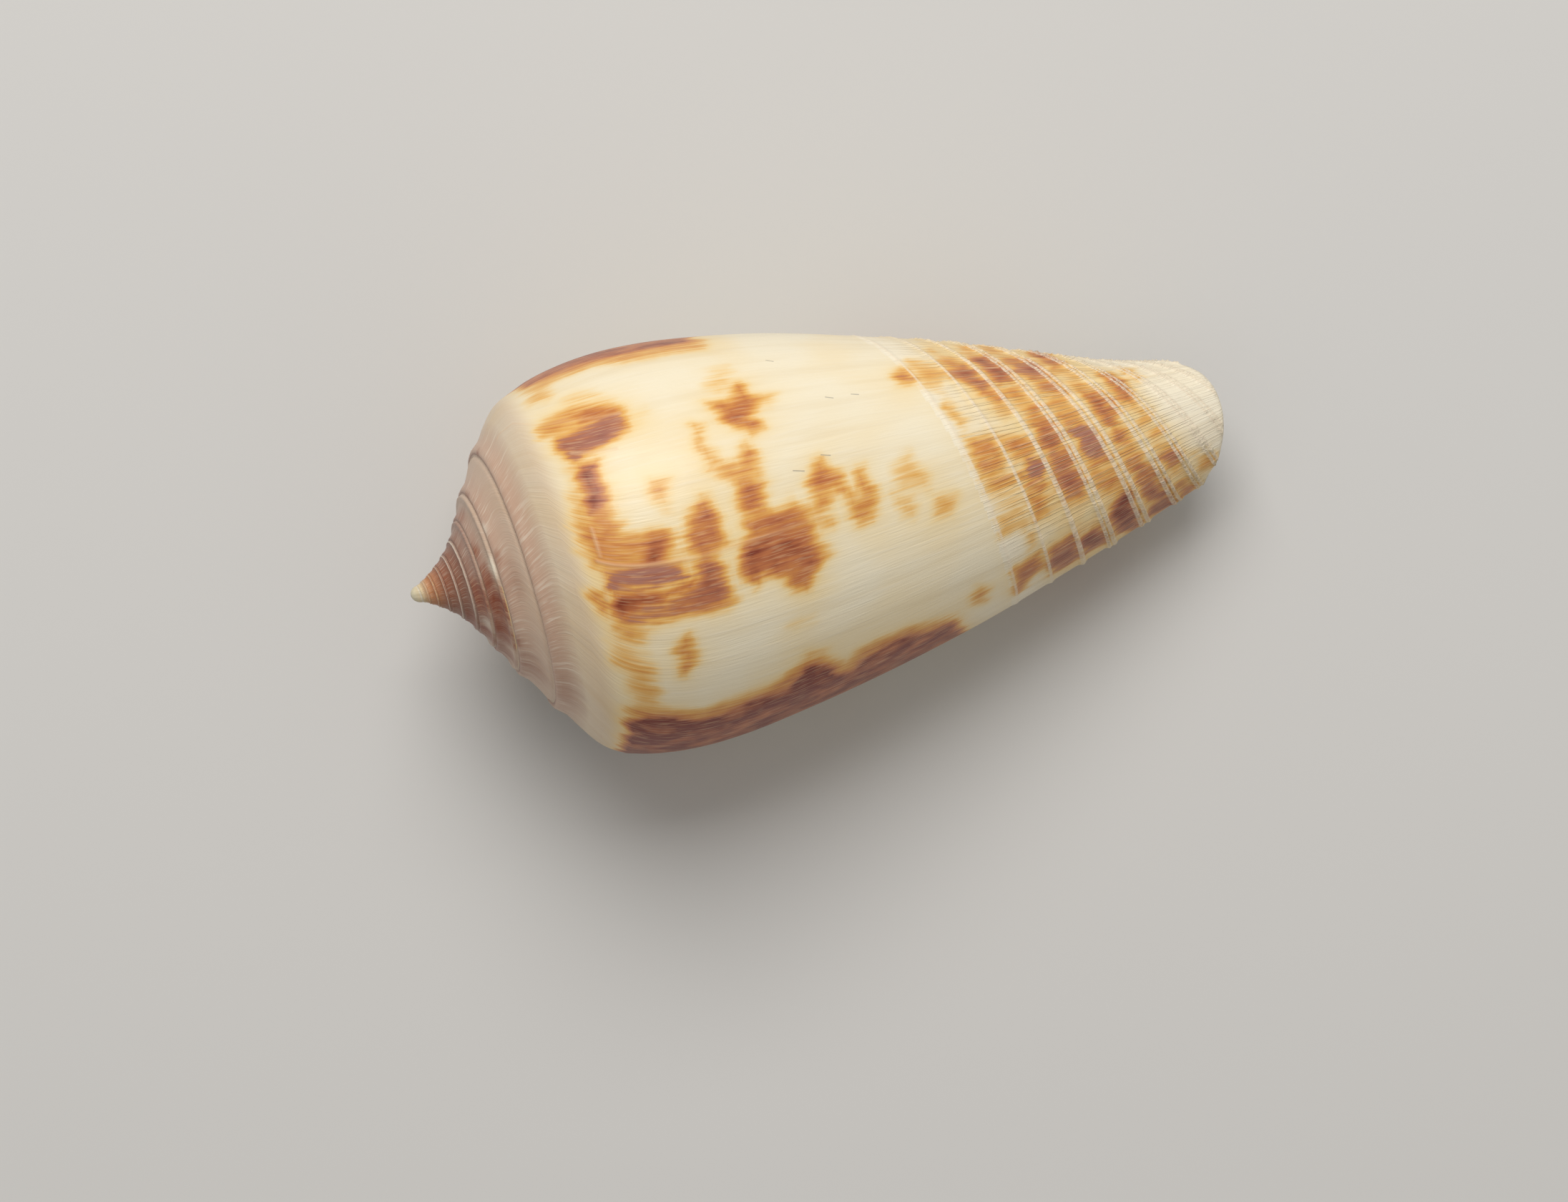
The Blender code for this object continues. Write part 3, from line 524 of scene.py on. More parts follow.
class Surface:
    """Collects points by turn, station and radius, with what the relief and the colours go by."""

    def __init__(self):
        self.points = np.zeros((0, 3))
        self.turns = np.zeros(0)
        self.insides = np.zeros(0)
        self.faces = []

    def add_points(self, points, turns, inside):
        """Keeps the points and gives back their numbers."""
        first = len(self.points)
        self.points = np.vstack([self.points, points])
        self.turns = np.append(self.turns, turns)
        self.insides = np.append(self.insides, np.broadcast_to(inside, len(points)))
        return np.arange(first, len(self.points))

    def add(self, turn, station, radius, inside=0.0):
        """The same for points in the shell's own coordinates, in any array."""
        turn, station, radius = np.broadcast_arrays(turn, station, radius)
        angle = UP_TURN - turn
        points = np.stack([station, -radius * np.sin(angle), radius * np.cos(angle)], axis=-1)
        inside = np.broadcast_to(inside, turn.shape).ravel()
        return self.add_points(points.reshape(-1, 3), turn.ravel(), inside).reshape(turn.shape)

    def sheet(self, chains):
        """Faces between neighbouring chains. A point may be repeated to join a coarser chain."""
        corners = [chains[:-1, :-1], chains[:-1, 1:], chains[1:, 1:], chains[1:, :-1]]
        self.faces += np.stack(corners, axis=-1).reshape(-1, 4).tolist()

    def fan(self, loop, centre):
        """Triangles from a closed loop to one point."""
        for i, corner in enumerate(loop):
            self.faces.append([corner, loop[(i + 1) % len(loop)], centre])

    def dome(self, loop, centre, sizes):
        """Rounded rings of these sizes from a loop up to a point, which closes them."""
        loop = np.asarray(loop)
        base = self.points[loop]
        turns = self.turns[loop]
        for size in sizes:
            flat = centre + (base - centre) * size
            flat[:, 0] = base[:, 0] + (centre[0] - base[:, 0]) * np.sqrt(1 - size * size)
            ring = self.add_points(flat, turns, self.insides[loop])
            self.sheet(np.stack([np.append(loop, loop[0]), np.append(ring, ring[0])]))
            loop = ring
        top = self.add_points(centre[None, :], turns[:1], self.insides[loop[:1]])[0]
        self.fan(loop.tolist(), top)


def expanded(fine, coarse):
    """For each of the fine places, which of the coarse ones joins it."""
    return np.clip(np.searchsorted(coarse, fine), 0, len(coarse) - 1)


def add_spire(surface):
    """The spiral line, and the ramps between its turns. Further in, the columns are fewer."""
    ticks = []
    starts = [(0, 1), *COARSE_FROM]
    ends = [start for start, _ in COARSE_FROM] + [SPIRE_TURNS + 1]
    for (start, step), end in zip(starts, ends):
        ticks += range(start * COLUMNS, end * COLUMNS, step)
    ticks = np.array([*ticks, (SPIRE_TURNS + 1) * COLUMNS])
    line = surface.add(*ramp_point(ticks * tau / COLUMNS, 1.0))
    open_ticks = ticks[ticks <= SPIRE_TURNS * COLUMNS]
    count = len(open_ticks)
    between = surface.add(*ramp_point(open_ticks[:, None] * tau / COLUMNS, np.array(RAMP_ROWS)))
    under = line[expanded(open_ticks + COLUMNS, ticks)]
    ramps = np.column_stack([under, between, line[:count]])
    surface.sheet(ramps)

    loop = np.concatenate([line[count - 1 :], ramps[-1][1:-1]])
    surface.dome(loop, np.zeros(3), KNOB_RINGS)
    return line, ramps


def rounded_edge(surface, out, into, push):
    """Rings that round the edge between two chains, pushed out by the vectors given."""
    rings = []
    middle = (surface.points[out] + surface.points[into]) / 2
    half = (surface.points[out] - surface.points[into]) / 2
    for ring in range(1, EDGE_RINGS + 1):
        angle = pi * ring / (EDGE_RINGS + 1)
        points = middle + half * np.cos(angle) + push * np.sin(angle)
        rings.append(surface.add_points(points, surface.turns[out], 0.5 * (1 - np.cos(angle))))
    return rings


def shell_surface():
    """The whole closed skin: spire, last turn, covered part, inside, lip, front rim and pillar."""
    surface = Surface()
    rows = [np.linspace(low, high, count, endpoint=False) for low, high, count in BODY_STRETCHES]
    rows = np.append(np.concatenate(rows)[1:], 1.0)
    few = np.arange(len(rows))[INSIDE_EVERY - 1 :: INSIDE_EVERY]
    few = np.unique(np.concatenate([[0], few, [len(rows) - 1]]))
    step = tau / COLUMNS
    cavity = round(CAVITY_TURN / step)
    back = np.unique(np.concatenate([[*range(*stretch)] for stretch in INSIDE_COLUMNS] + [[cavity]]))
    to_few = expanded(np.arange(len(rows)), few)

    line, ramps = add_spire(surface)
    ticks = np.arange(COLUMNS + 1)
    body = surface.add(*body_point(ticks[:, None] * step, rows))
    surface.sheet(np.column_stack([line[: COLUMNS + 1], body]))

    # The part of the last turn that the lip covers, then the inside of the wall
    turns = (COLUMNS + back[1:]) * step
    covered = surface.add(*body_point(turns[:, None], rows[few]), inside=1.0)
    surface.sheet(np.stack([body[-1], covered[0][to_few]]))
    surface.sheet(covered)
    feet = np.concatenate([[body[-1][0]], covered[:, 0]])
    first = surface.add(*inside_point(0.0, RAMP_ROWS, rows), inside=1.0)
    inner = [inside_point(turn, RAMP_ROWS, rows[few]) for turn in back[1:] * step]
    inner = [surface.add(*section, inside=1.0) for section in inner]
    inner = np.column_stack([feet[1:], np.array(inner)])
    head = len(RAMP_ROWS) + 2
    full = np.concatenate([np.arange(head), head + to_few])
    first = np.append(feet[0], first)
    surface.sheet(np.stack([first, inner[0][full]]))
    surface.sheet(inner)

    # The lip's edge
    lip = np.concatenate([ramps[0], body[0]])
    radial = surface.points[lip][:, 1:]
    ahead = EDGE_ROUND * np.column_stack([np.zeros(len(lip)), -radial[:, 1], radial[:, 0]])
    ahead /= np.maximum(np.linalg.norm(radial, axis=1), EDGE_ROUND)[:, None]
    edges = rounded_edge(surface, lip[1:], first[1:], ahead[1:])
    edges = [np.append(lip[0], ring) for ring in edges]
    surface.sheet(np.stack([lip, *edges, first]))

    # The front rim's edge
    start = np.array([lip[-1], *(ring[-1] for ring in edges), first[-1]])
    push = np.array([EDGE_ROUND, 0.0, 0.0])
    rings = rounded_edge(surface, body[back[1:], -1], inner[:, -1], push)
    rim = np.column_stack([body[back[1:], -1], *rings, inner[:, -1]])
    rim = np.vstack([start, rim])
    surface.sheet(rim[:, 1:])
    fine = np.arange(cavity + 1)
    surface.sheet(np.stack([body[fine, -1], rim[expanded(fine, back), 1]]))

    # The cavity's blind end and the pillar's tip
    end = inner[-1]
    surface.faces += [[end[0], end[i], end[i + 1]] for i in range(1, head - 1)]
    surface.faces.append([end[0], end[head - 1], end[head], covered[-1][0]])
    surface.sheet(np.stack([end[head:], covered[-1]]))
    tip_loop = [*body[cavity:, -1], *covered[:, -1], *rim[-1][:0:-1]]
    tip_turn = CAVITY_TURN + pi / 2
    angle = UP_TURN - tip_turn
    tip = [rim_station(tip_turn) + TIP_RISE, -TIP_OFFSET * np.sin(angle), TIP_OFFSET * np.cos(angle)]
    surface.dome(tip_loop, np.array(tip), TIP_RINGS)
    return surface


def tidy_faces(faces):
    """The faces with their repeated corners taken out, and without those that have no area left."""
    kept = []
    for face in faces:
        corners = [c for i, c in enumerate(face) if c != face[i - 1]]
        if len(set(corners)) == len(corners) and len(corners) > 2:
            kept.append(corners)
    return kept


def store(mesh, name, values, kind="FLOAT"):
    """Keeps one value for each point of the mesh, for the relief and the finish to read."""
    attribute = mesh.attributes.new(name, kind, "POINT")
    field = "vector" if kind == "FLOAT_VECTOR" else "value"
    attribute.data.foreach_set(field, np.asarray(values, np.float32).ravel())


def cord_places(turns, stations):
    """Each point's place among the cords, as a running number, their strength there, and the front's."""
    lean = (np.hypot(turns - LEAN_FROM, LEAN_SOFT) + turns - LEAN_FROM) / 2
    at_lip = stations * np.exp(CORD_GROWTH * turns + CORD_LEAN * lean)
    place = np.interp(at_lip, CORDS, np.arange(len(CORDS)))
    strength = ease((at_lip - CORDS[0]) / (CORD_FULL - CORDS[0]))
    strength = FIRST_CORD + (1 - FIRST_CORD) * strength
    strength = strength * (1 - ease((turns - tau) / CORD_FADE))
    reach = (at_lip > CORDS[0] - CORD_MARGIN) & (at_lip < CORDS[-1] + CORD_MARGIN)
    beyond = np.maximum(CORDS[0] - at_lip, 0) / (CORDS[1] - CORDS[0])
    beyond += np.maximum(at_lip - CORDS[-1], 0) / (CORDS[-1] - CORDS[-2])
    front = ease((at_lip - CORDS[0] + CORD_MARGIN) / FRONT_RISE)
    front = front * (1 - ease((at_lip - TIP_PALE[0]) / TIP_PALE[1]))
    return place - beyond, strength * reach, front


def wander(x, seed):
    """A smooth curve between about -1 and 1 that doesn't seem to repeat."""
    return sum(height * np.sin(pitch * x + shift * seed) for height, pitch, shift in WANDER) / 2


def outlines():
    """Every mark's strength, dusk and outline in degrees and millimetres, with those of the far side."""
    found = []
    for strength, dusk, *corners in MARKS:
        corners = np.array(corners, float).reshape(-1, 2)
        found.append((strength, dusk, corners))
        for low, high, start, sign in REPEATS:
            if corners[:, 0].min() > low and corners[:, 0].max() < high:
                turned = corners * (sign, 1) + (start, 0)
                shift = np.radians(turned[:, 0] - corners[:, 0])
                turned[:, 1] *= np.exp(-CORD_GROWTH * shift)
                found.append((strength * FAR_STRENGTH, dusk, turned))
    return found


def depth_inside(points, corners):
    """How far inside an outline each point lies, negative outside it."""
    ends = np.roll(corners, -1, axis=0)
    edges = ends - corners
    to_points = points[:, None, :] - corners[None]
    along = (to_points * edges).sum(-1) / np.maximum((edges * edges).sum(-1), TINY)
    off = to_points - np.clip(along, 0, 1)[..., None] * edges
    near = np.linalg.norm(off, axis=-1).min(axis=1)
    heights = points[:, 1:2]
    crosses = (corners[:, 1] > heights) != (ends[:, 1] > heights)
    rise = np.where(edges[:, 1] == 0, TINY, edges[:, 1])
    meets = corners[:, 0] + (heights - corners[:, 1]) / rise * edges[:, 0]
    inside = (crosses & (points[:, :1] < meets)).sum(axis=1) % 2 == 1
    return np.where(inside, near, -near)


def paint_body(turns, stations):
    """How much pigment each point has, how dusky it is, and how warm the ground round the marks is."""
    pigment = np.zeros(len(turns))
    dusky = np.zeros(len(turns))
    warm = np.zeros(len(turns))
    limit = np.zeros(len(turns))
    for number, (strength, dusk, corners) in enumerate(outlines()):
        middle = corners.mean(axis=0)
        size = float(body_radius(radians(middle[0]), middle[1]))
        flat = corners * (radians(1) * size, 1)
        low, high = flat.min(axis=0) - HALO_REACH, flat.max(axis=0) + HALO_REACH
        across = turns * size
        near = (across > low[0]) & (across < high[0]) & (stations > low[1]) & (stations < high[1])
        near = np.flatnonzero(near)
        across = across[near]
        along = stations[near]
        drawn = along + FEATHER * wander(across / FEATHER_PITCH, number) * EDGE_DRAW
        sideways = across + FEATHER * wander(along / LONG_PITCH, number + LONG_SEED)
        depth = depth_inside(np.column_stack([sideways, drawn]), flat)
        soft = MARK_SOFT + (1 - strength) * FAINT_SOFT
        glow = np.exp(-np.maximum(-depth, 0) / GLOW_FADE) * GLOW_SHARE
        amount = strength * (ease(depth / soft + 0.5) * (1 - GLOW_SHARE) + glow)
        before = pigment[near]
        limit[near] = np.maximum(limit[near], np.where(amount > 0, strength, 0))
        dusky[near] = np.where(amount > before, dusk, dusky[near])
        pigment[near] = np.minimum(np.cbrt(before**3 + amount**3), limit[near])
        halo = strength * np.exp(-np.maximum(-depth, 0) / HALO_FADE)
        warm[near] = np.maximum(warm[near], halo)
    return pigment, dusky, warm


def paint_spots(spots, turns, shares, radii):
    """The same for the spots on the ramps of the spire, each an ellipse along its ramp."""
    amounts = np.zeros(len(turns))
    dusky = np.zeros(len(turns))
    for turn, share, length, width, strength, dusk in spots:
        along = (turns - radians(turn)) * radii / length
        across = (shares - share) * RAMP_SHARE * radii / width
        place = along * SPOT_PITCH[0] + across * SPOT_PITCH[1]
        away = np.hypot(along, across) + SPOT_ROUGH * wander(place, turn)
        amount = strength * ease((1 - away) / SPOT_SOFT + 0.5)
        dusky = np.where(amount > amounts, dusk, dusky)
        amounts = np.maximum(amounts, amount)
    return amounts, dusky


def ramp_shares(turns, stations, radii):
    """A point's share of its ramp, and from the shoulder on 1 plus the millimetres past it."""
    inner = spiral_line(turns + tau)
    outer = spiral_line(turns)
    past = stations - outer[0]
    share = np.clip((radii - inner[1]) / (outer[1] - inner[1]), 0, 1)
    return np.where(past > SHOULDER_SLACK, 1 + past, share)


def build_mesh():
    """The shell as one closed mesh, with what the relief and the colours go by stored on its points."""
    surface = shell_surface()
    mesh = bpy.data.meshes.new("cone_shell")
    mesh.from_pydata((surface.points * MM).tolist(), [], tidy_faces(surface.faces))
    stations = surface.points[:, 0]
    radii = np.hypot(surface.points[:, 1], surface.points[:, 2])
    turns = surface.turns
    shares = ramp_shares(turns, stations, radii)
    swept = turns - GROWTH_BEND * np.exp(-np.maximum(shares - 1, 0) / BEND_FADE)
    swept = swept - np.where(shares < 1, SINUS * np.sin(pi * shares), 0)
    store(mesh, "growth", np.column_stack([swept, stations, shares]), "FLOAT_VECTOR")
    store(mesh, "inside", surface.insides)
    places, strengths, front = cord_places(turns, stations)
    store(mesh, "front", front * (surface.insides == 0))
    store(mesh, "cord_place", places)
    store(mesh, "cord_strength", strengths * (surface.insides == 0))

    pigment, dusky, warm = paint_body(turns, stations)
    spots, spot_dusk = paint_spots(SPOTS, turns, shares, radii)
    on_ramp = shares < 1
    store(mesh, "pigment", np.where(on_ramp, spots, pigment))
    store(mesh, "dusk", np.where(on_ramp, spot_dusk, dusky))
    store(mesh, "warm", warm)
    store(mesh, "blanch", paint_spots(WHITE_SPOTS, turns, shares, radii)[0] * on_ramp)

    work = bmesh.new()
    work.from_mesh(mesh)
    bmesh.ops.recalc_face_normals(work, faces=work.faces)
    work.verts.ensure_lookup_table()
    rounded = (shares > ROUNDED_SHARES[0]) & (shares < ROUNDED_SHARES[1]) & (surface.insides == 0)
    rounded &= (turns > ROUNDED_TURNS[0]) & (turns < ROUNDED_TURNS[1])
    bend = [work.verts[i] for i in np.flatnonzero(rounded)]
    axes = {"use_axis_x": True, "use_axis_y": True, "use_axis_z": True}
    for _ in range(ROUNDING_PASSES):
        bmesh.ops.smooth_vert(work, verts=bend, factor=ROUNDING_STEP, **axes)
    bmesh.ops.triangulate(work, faces=[face for face in work.faces if len(face.verts) > 4])
    work.to_mesh(mesh)
    work.free()
    mesh.shade_smooth()
    return mesh


class Wiring:
    """Short ways to add and join nodes in one tree."""

    def __init__(self, tree):
        self.tree = tree

    def feed(self, socket, value):
        """Links a socket, or sets it to a number, a vector or a colour."""
        if isinstance(value, bpy.types.NodeSocket):
            self.tree.links.new(value, socket)
        else:
            socket.default_value = (*value, 1.0) if socket.type == "RGBA" else value

    def add(self, kind, values=None, **settings):
        """A node with these settings, its sockets fed with these values."""
        node = self.tree.nodes.new(kind)
        for name, value in settings.items():
            setattr(node, name, value)
        for key, value in (values or {}).items():
            self.feed(node.inputs[key], value)
        return node

    def math(self, operation, *values):
        return self.add("ShaderNodeMath", dict(enumerate(values)), operation=operation).outputs[0]

    def times(self, *values):
        return reduce(lambda product, value: self.math("MULTIPLY", product, value), values)

    def plus(self, *values):
        return reduce(lambda total, value: self.math("ADD", total, value), values)

    def left(self, value):
        """What is left of 1 without the value."""
        return self.math("SUBTRACT", 1.0, value)

    def swing(self, value):
        """The value of a noise, which lies round a half, moved to lie round 0."""
        return self.math("SUBTRACT", value, 0.5)

    def vector(self, operation, values, out="Vector"):
        return self.add("ShaderNodeVectorMath", values, operation=operation).outputs[out]

    def eased(self, name, value):
        """The value eased over the range of this name."""
        low, high, at_low, at_high = (*RANGES[name], 0.0, 1.0)[:4]
        if low > high:
            low, high, at_low, at_high = high, low, at_high, at_low
        sockets = {"Value": value, "From Min": low, "From Max": high, "To Min": at_low, "To Max": at_high}
        return self.add("ShaderNodeMapRange", sockets, interpolation_type="SMOOTHSTEP").outputs["Result"]

    def mix(self, share, first, second):
        """The first colour with this share of the second over it."""
        sockets = {0: share, 6: first, 7: second}
        return self.add("ShaderNodeMix", sockets, data_type="RGBA", clamp_factor=True).outputs[2]

    def noise(self, vector, name):
        """The noise of this name, drawn out along the growth lines."""
        across, along, detail = NOISES[name]
        stretched = self.vector("MULTIPLY", {0: vector, 1: (RADIAN_MM / across, 1 / along, 0)})
        values = {"Vector": stretched, "Scale": 1, "Detail": detail}
        return self.add("ShaderNodeTexNoise", values, noise_dimensions="2D").outputs[0]

    def cords(self, place, strength, gap, width):
        """How near a place is to a cord, or to either line of one where they are paired."""
        off = self.math("ABSOLUTE", self.math("SUBTRACT", place, self.math("ROUND", place)))
        off = self.math("SUBTRACT", off, self.times(gap, self.eased("paired cords", place)))
        off = self.math("DIVIDE", off, width)
        return self.times(self.math("EXPONENT", self.times(off, off, -1.0)), strength)


def relief_tree():
    """Raises the cords, in pairs where they are strong, and waves the surface a little as it grew."""
    tree = bpy.data.node_groups.new("shell relief", "GeometryNodeTree")
    sockets = tree.interface
    sockets.new_socket("Geometry", in_out="INPUT", socket_type="NodeSocketGeometry")
    for name in RELIEF_SIZES:
        sockets.new_socket(name, in_out="INPUT", socket_type="NodeSocketFloat")
    sockets.new_socket("Finish", in_out="INPUT", socket_type="NodeSocketMaterial")
    sockets.new_socket("Geometry", in_out="OUTPUT", socket_type="NodeSocketGeometry")
    wiring = Wiring(tree)
    given = wiring.add("NodeGroupInput").outputs

    def read(name, kind="FLOAT"):
        node = wiring.add("GeometryNodeInputNamedAttribute", {"Name": name}, data_type=kind)
        return node.outputs["Attribute"]

    growth = read("growth", "FLOAT_VECTOR")
    sizes = (given["Pair Gap"], given["Cord Width"])
    cords = wiring.cords(read("cord_place"), read("cord_strength"), *sizes)
    knots = wiring.eased("knots", wiring.noise(growth, "knots"))
    raised = wiring.times(cords, knots, given["Cord Height"])
    waves = wiring.times(wiring.swing(wiring.noise(growth, "waves")), given["Wave Height"])
    height = wiring.times(wiring.plus(raised, waves), wiring.left(read("inside")))
    normal = wiring.add("GeometryNodeInputNormal").outputs[0]
    offset = wiring.vector("SCALE", {0: normal, "Scale": height})
    moved = wiring.add("GeometryNodeSetPosition", {"Geometry": given["Geometry"], "Offset": offset})
    real = wiring.add("GeometryNodeRealizeInstances", {"Geometry": moved.outputs[0]})
    done = wiring.add("GeometryNodeSetMaterial", {"Geometry": real.outputs[0], "Material": given["Finish"]})
    wiring.add("NodeGroupOutput", {"Geometry": done.outputs[0]})
    return tree


def apply_relief(mesh, form, finish):
    """Runs the relief tree on the mesh and gives back the result as a plain mesh."""
    piece = bpy.data.objects.new("cone_shell_blank", mesh)
    bpy.context.scene.collection.objects.link(piece)
    tree = relief_tree()
    modifier = piece.modifiers.new("relief", "NODES")
    modifier.node_group = tree
    keys = {item.name: item.identifier for item in tree.interface.items_tree if item.in_out == "INPUT"}
    for name in RELIEF_SIZES:
        modifier[keys[name]] = getattr(form, name.lower().replace(" ", "_"))
    modifier[keys["Finish"]] = finish
    ready = piece.evaluated_get(bpy.context.evaluated_depsgraph_get())
    baked = bpy.data.meshes.new_from_object(ready)
    baked.name = "cone_shell"
    bpy.data.objects.remove(piece)
    bpy.data.meshes.remove(mesh)
    return baked


def lay_down(mesh):
    """Tips the shell on to its lip and belly, where it is a little flattened, and centres it."""
    mesh.transform(Euler((0.0, PITCH, 0.0)).to_matrix().to_4x4())
    points = np.zeros(len(mesh.vertices) * 3)
    mesh.vertices.foreach_get("co", points)
    points = points.reshape(-1, 3)
    low, high = points.min(axis=0), points.max(axis=0)
    ground = np.array([(low[0] + high[0]) / 2, (low[1] + high[1]) / 2, low[2] + FLAT_DEPTH * MM])
    points -= ground
    points[:, 2] = np.maximum(points[:, 2], 0.0)
    mesh.vertices.foreach_set("co", points.ravel())
    mesh.update()
    return Vector(-ground)


def hairline_group():
    """A node group whose output is 1 on a straight line between two places and 0 away from it."""
    tree = bpy.data.node_groups.new("hairline", "ShaderNodeTree")
    for name in ("Place", "Start", "End"):
        tree.interface.new_socket(name, in_out="INPUT", socket_type="NodeSocketVector")
    tree.interface.new_socket("Width", in_out="INPUT", socket_type="NodeSocketFloat")
    tree.interface.new_socket("Mask", in_out="OUTPUT", socket_type="NodeSocketFloat")
    wiring = Wiring(tree)
    given = wiring.add("NodeGroupInput").outputs
    line = wiring.vector("SUBTRACT", {0: given["End"], 1: given["Start"]})
    from_start = wiring.vector("SUBTRACT", {0: given["Place"], 1: given["Start"]})
    along = wiring.vector("DOT_PRODUCT", {0: from_start, 1: line}, "Value")
    length = wiring.vector("DOT_PRODUCT", {0: line, 1: line}, "Value")
    share = wiring.add("ShaderNodeClamp", {"Value": wiring.math("DIVIDE", along, length)}).outputs[0]
    nearest = wiring.vector("SCALE", {0: line, "Scale": share})
    off = wiring.vector("SUBTRACT", {0: from_start, 1: nearest})
    away = wiring.math("DIVIDE", wiring.vector("LENGTH", {0: off}, "Value"), given["Width"])
    mask = wiring.add("ShaderNodeClamp", {"Value": wiring.left(away)}).outputs[0]
    wiring.add("NodeGroupOutput", {"Mask": mask})
    return tree


def line_mask(wiring, place, lines, width):
    """One mask for several hairlines, each given by its ends in degrees and millimetres."""
    group = bpy.data.node_groups.get("hairline") or hairline_group()
    mask = 0.0
    for line in lines:
        start, end = [(radians(turn) * RADIAN_MM, station, 0.0) for turn, station in line]
        values = {"Place": place, "Start": start, "End": end, "Width": width}
        node = wiring.add("ShaderNodeGroup", values, node_tree=group)
        mask = wiring.math("MAXIMUM", mask, node.outputs["Mask"])
    return mask


def paint(red, green, blue):
    """A colour as read off a screen, in the linear values that the shaders take."""
    shares = [value / 255 for value in (red, green, blue)]
    return tuple(s / 12.92 if s <= 0.04045 else ((s + 0.055) / 1.055) ** 2.4 for s in shares)


def colour_steps(wiring, value, steps):
    """A colour ramp with the places and colours given."""
    node = wiring.add("ShaderNodeValToRGB", {"Fac": value})
    points = node.color_ramp.elements
    while len(points) < len(steps):
        points.new(0.5)
    for point, (place, colour) in zip(points, steps):
        point.position = place
        point.color = (*colour, 1.0)
    return node.outputs["Color"]


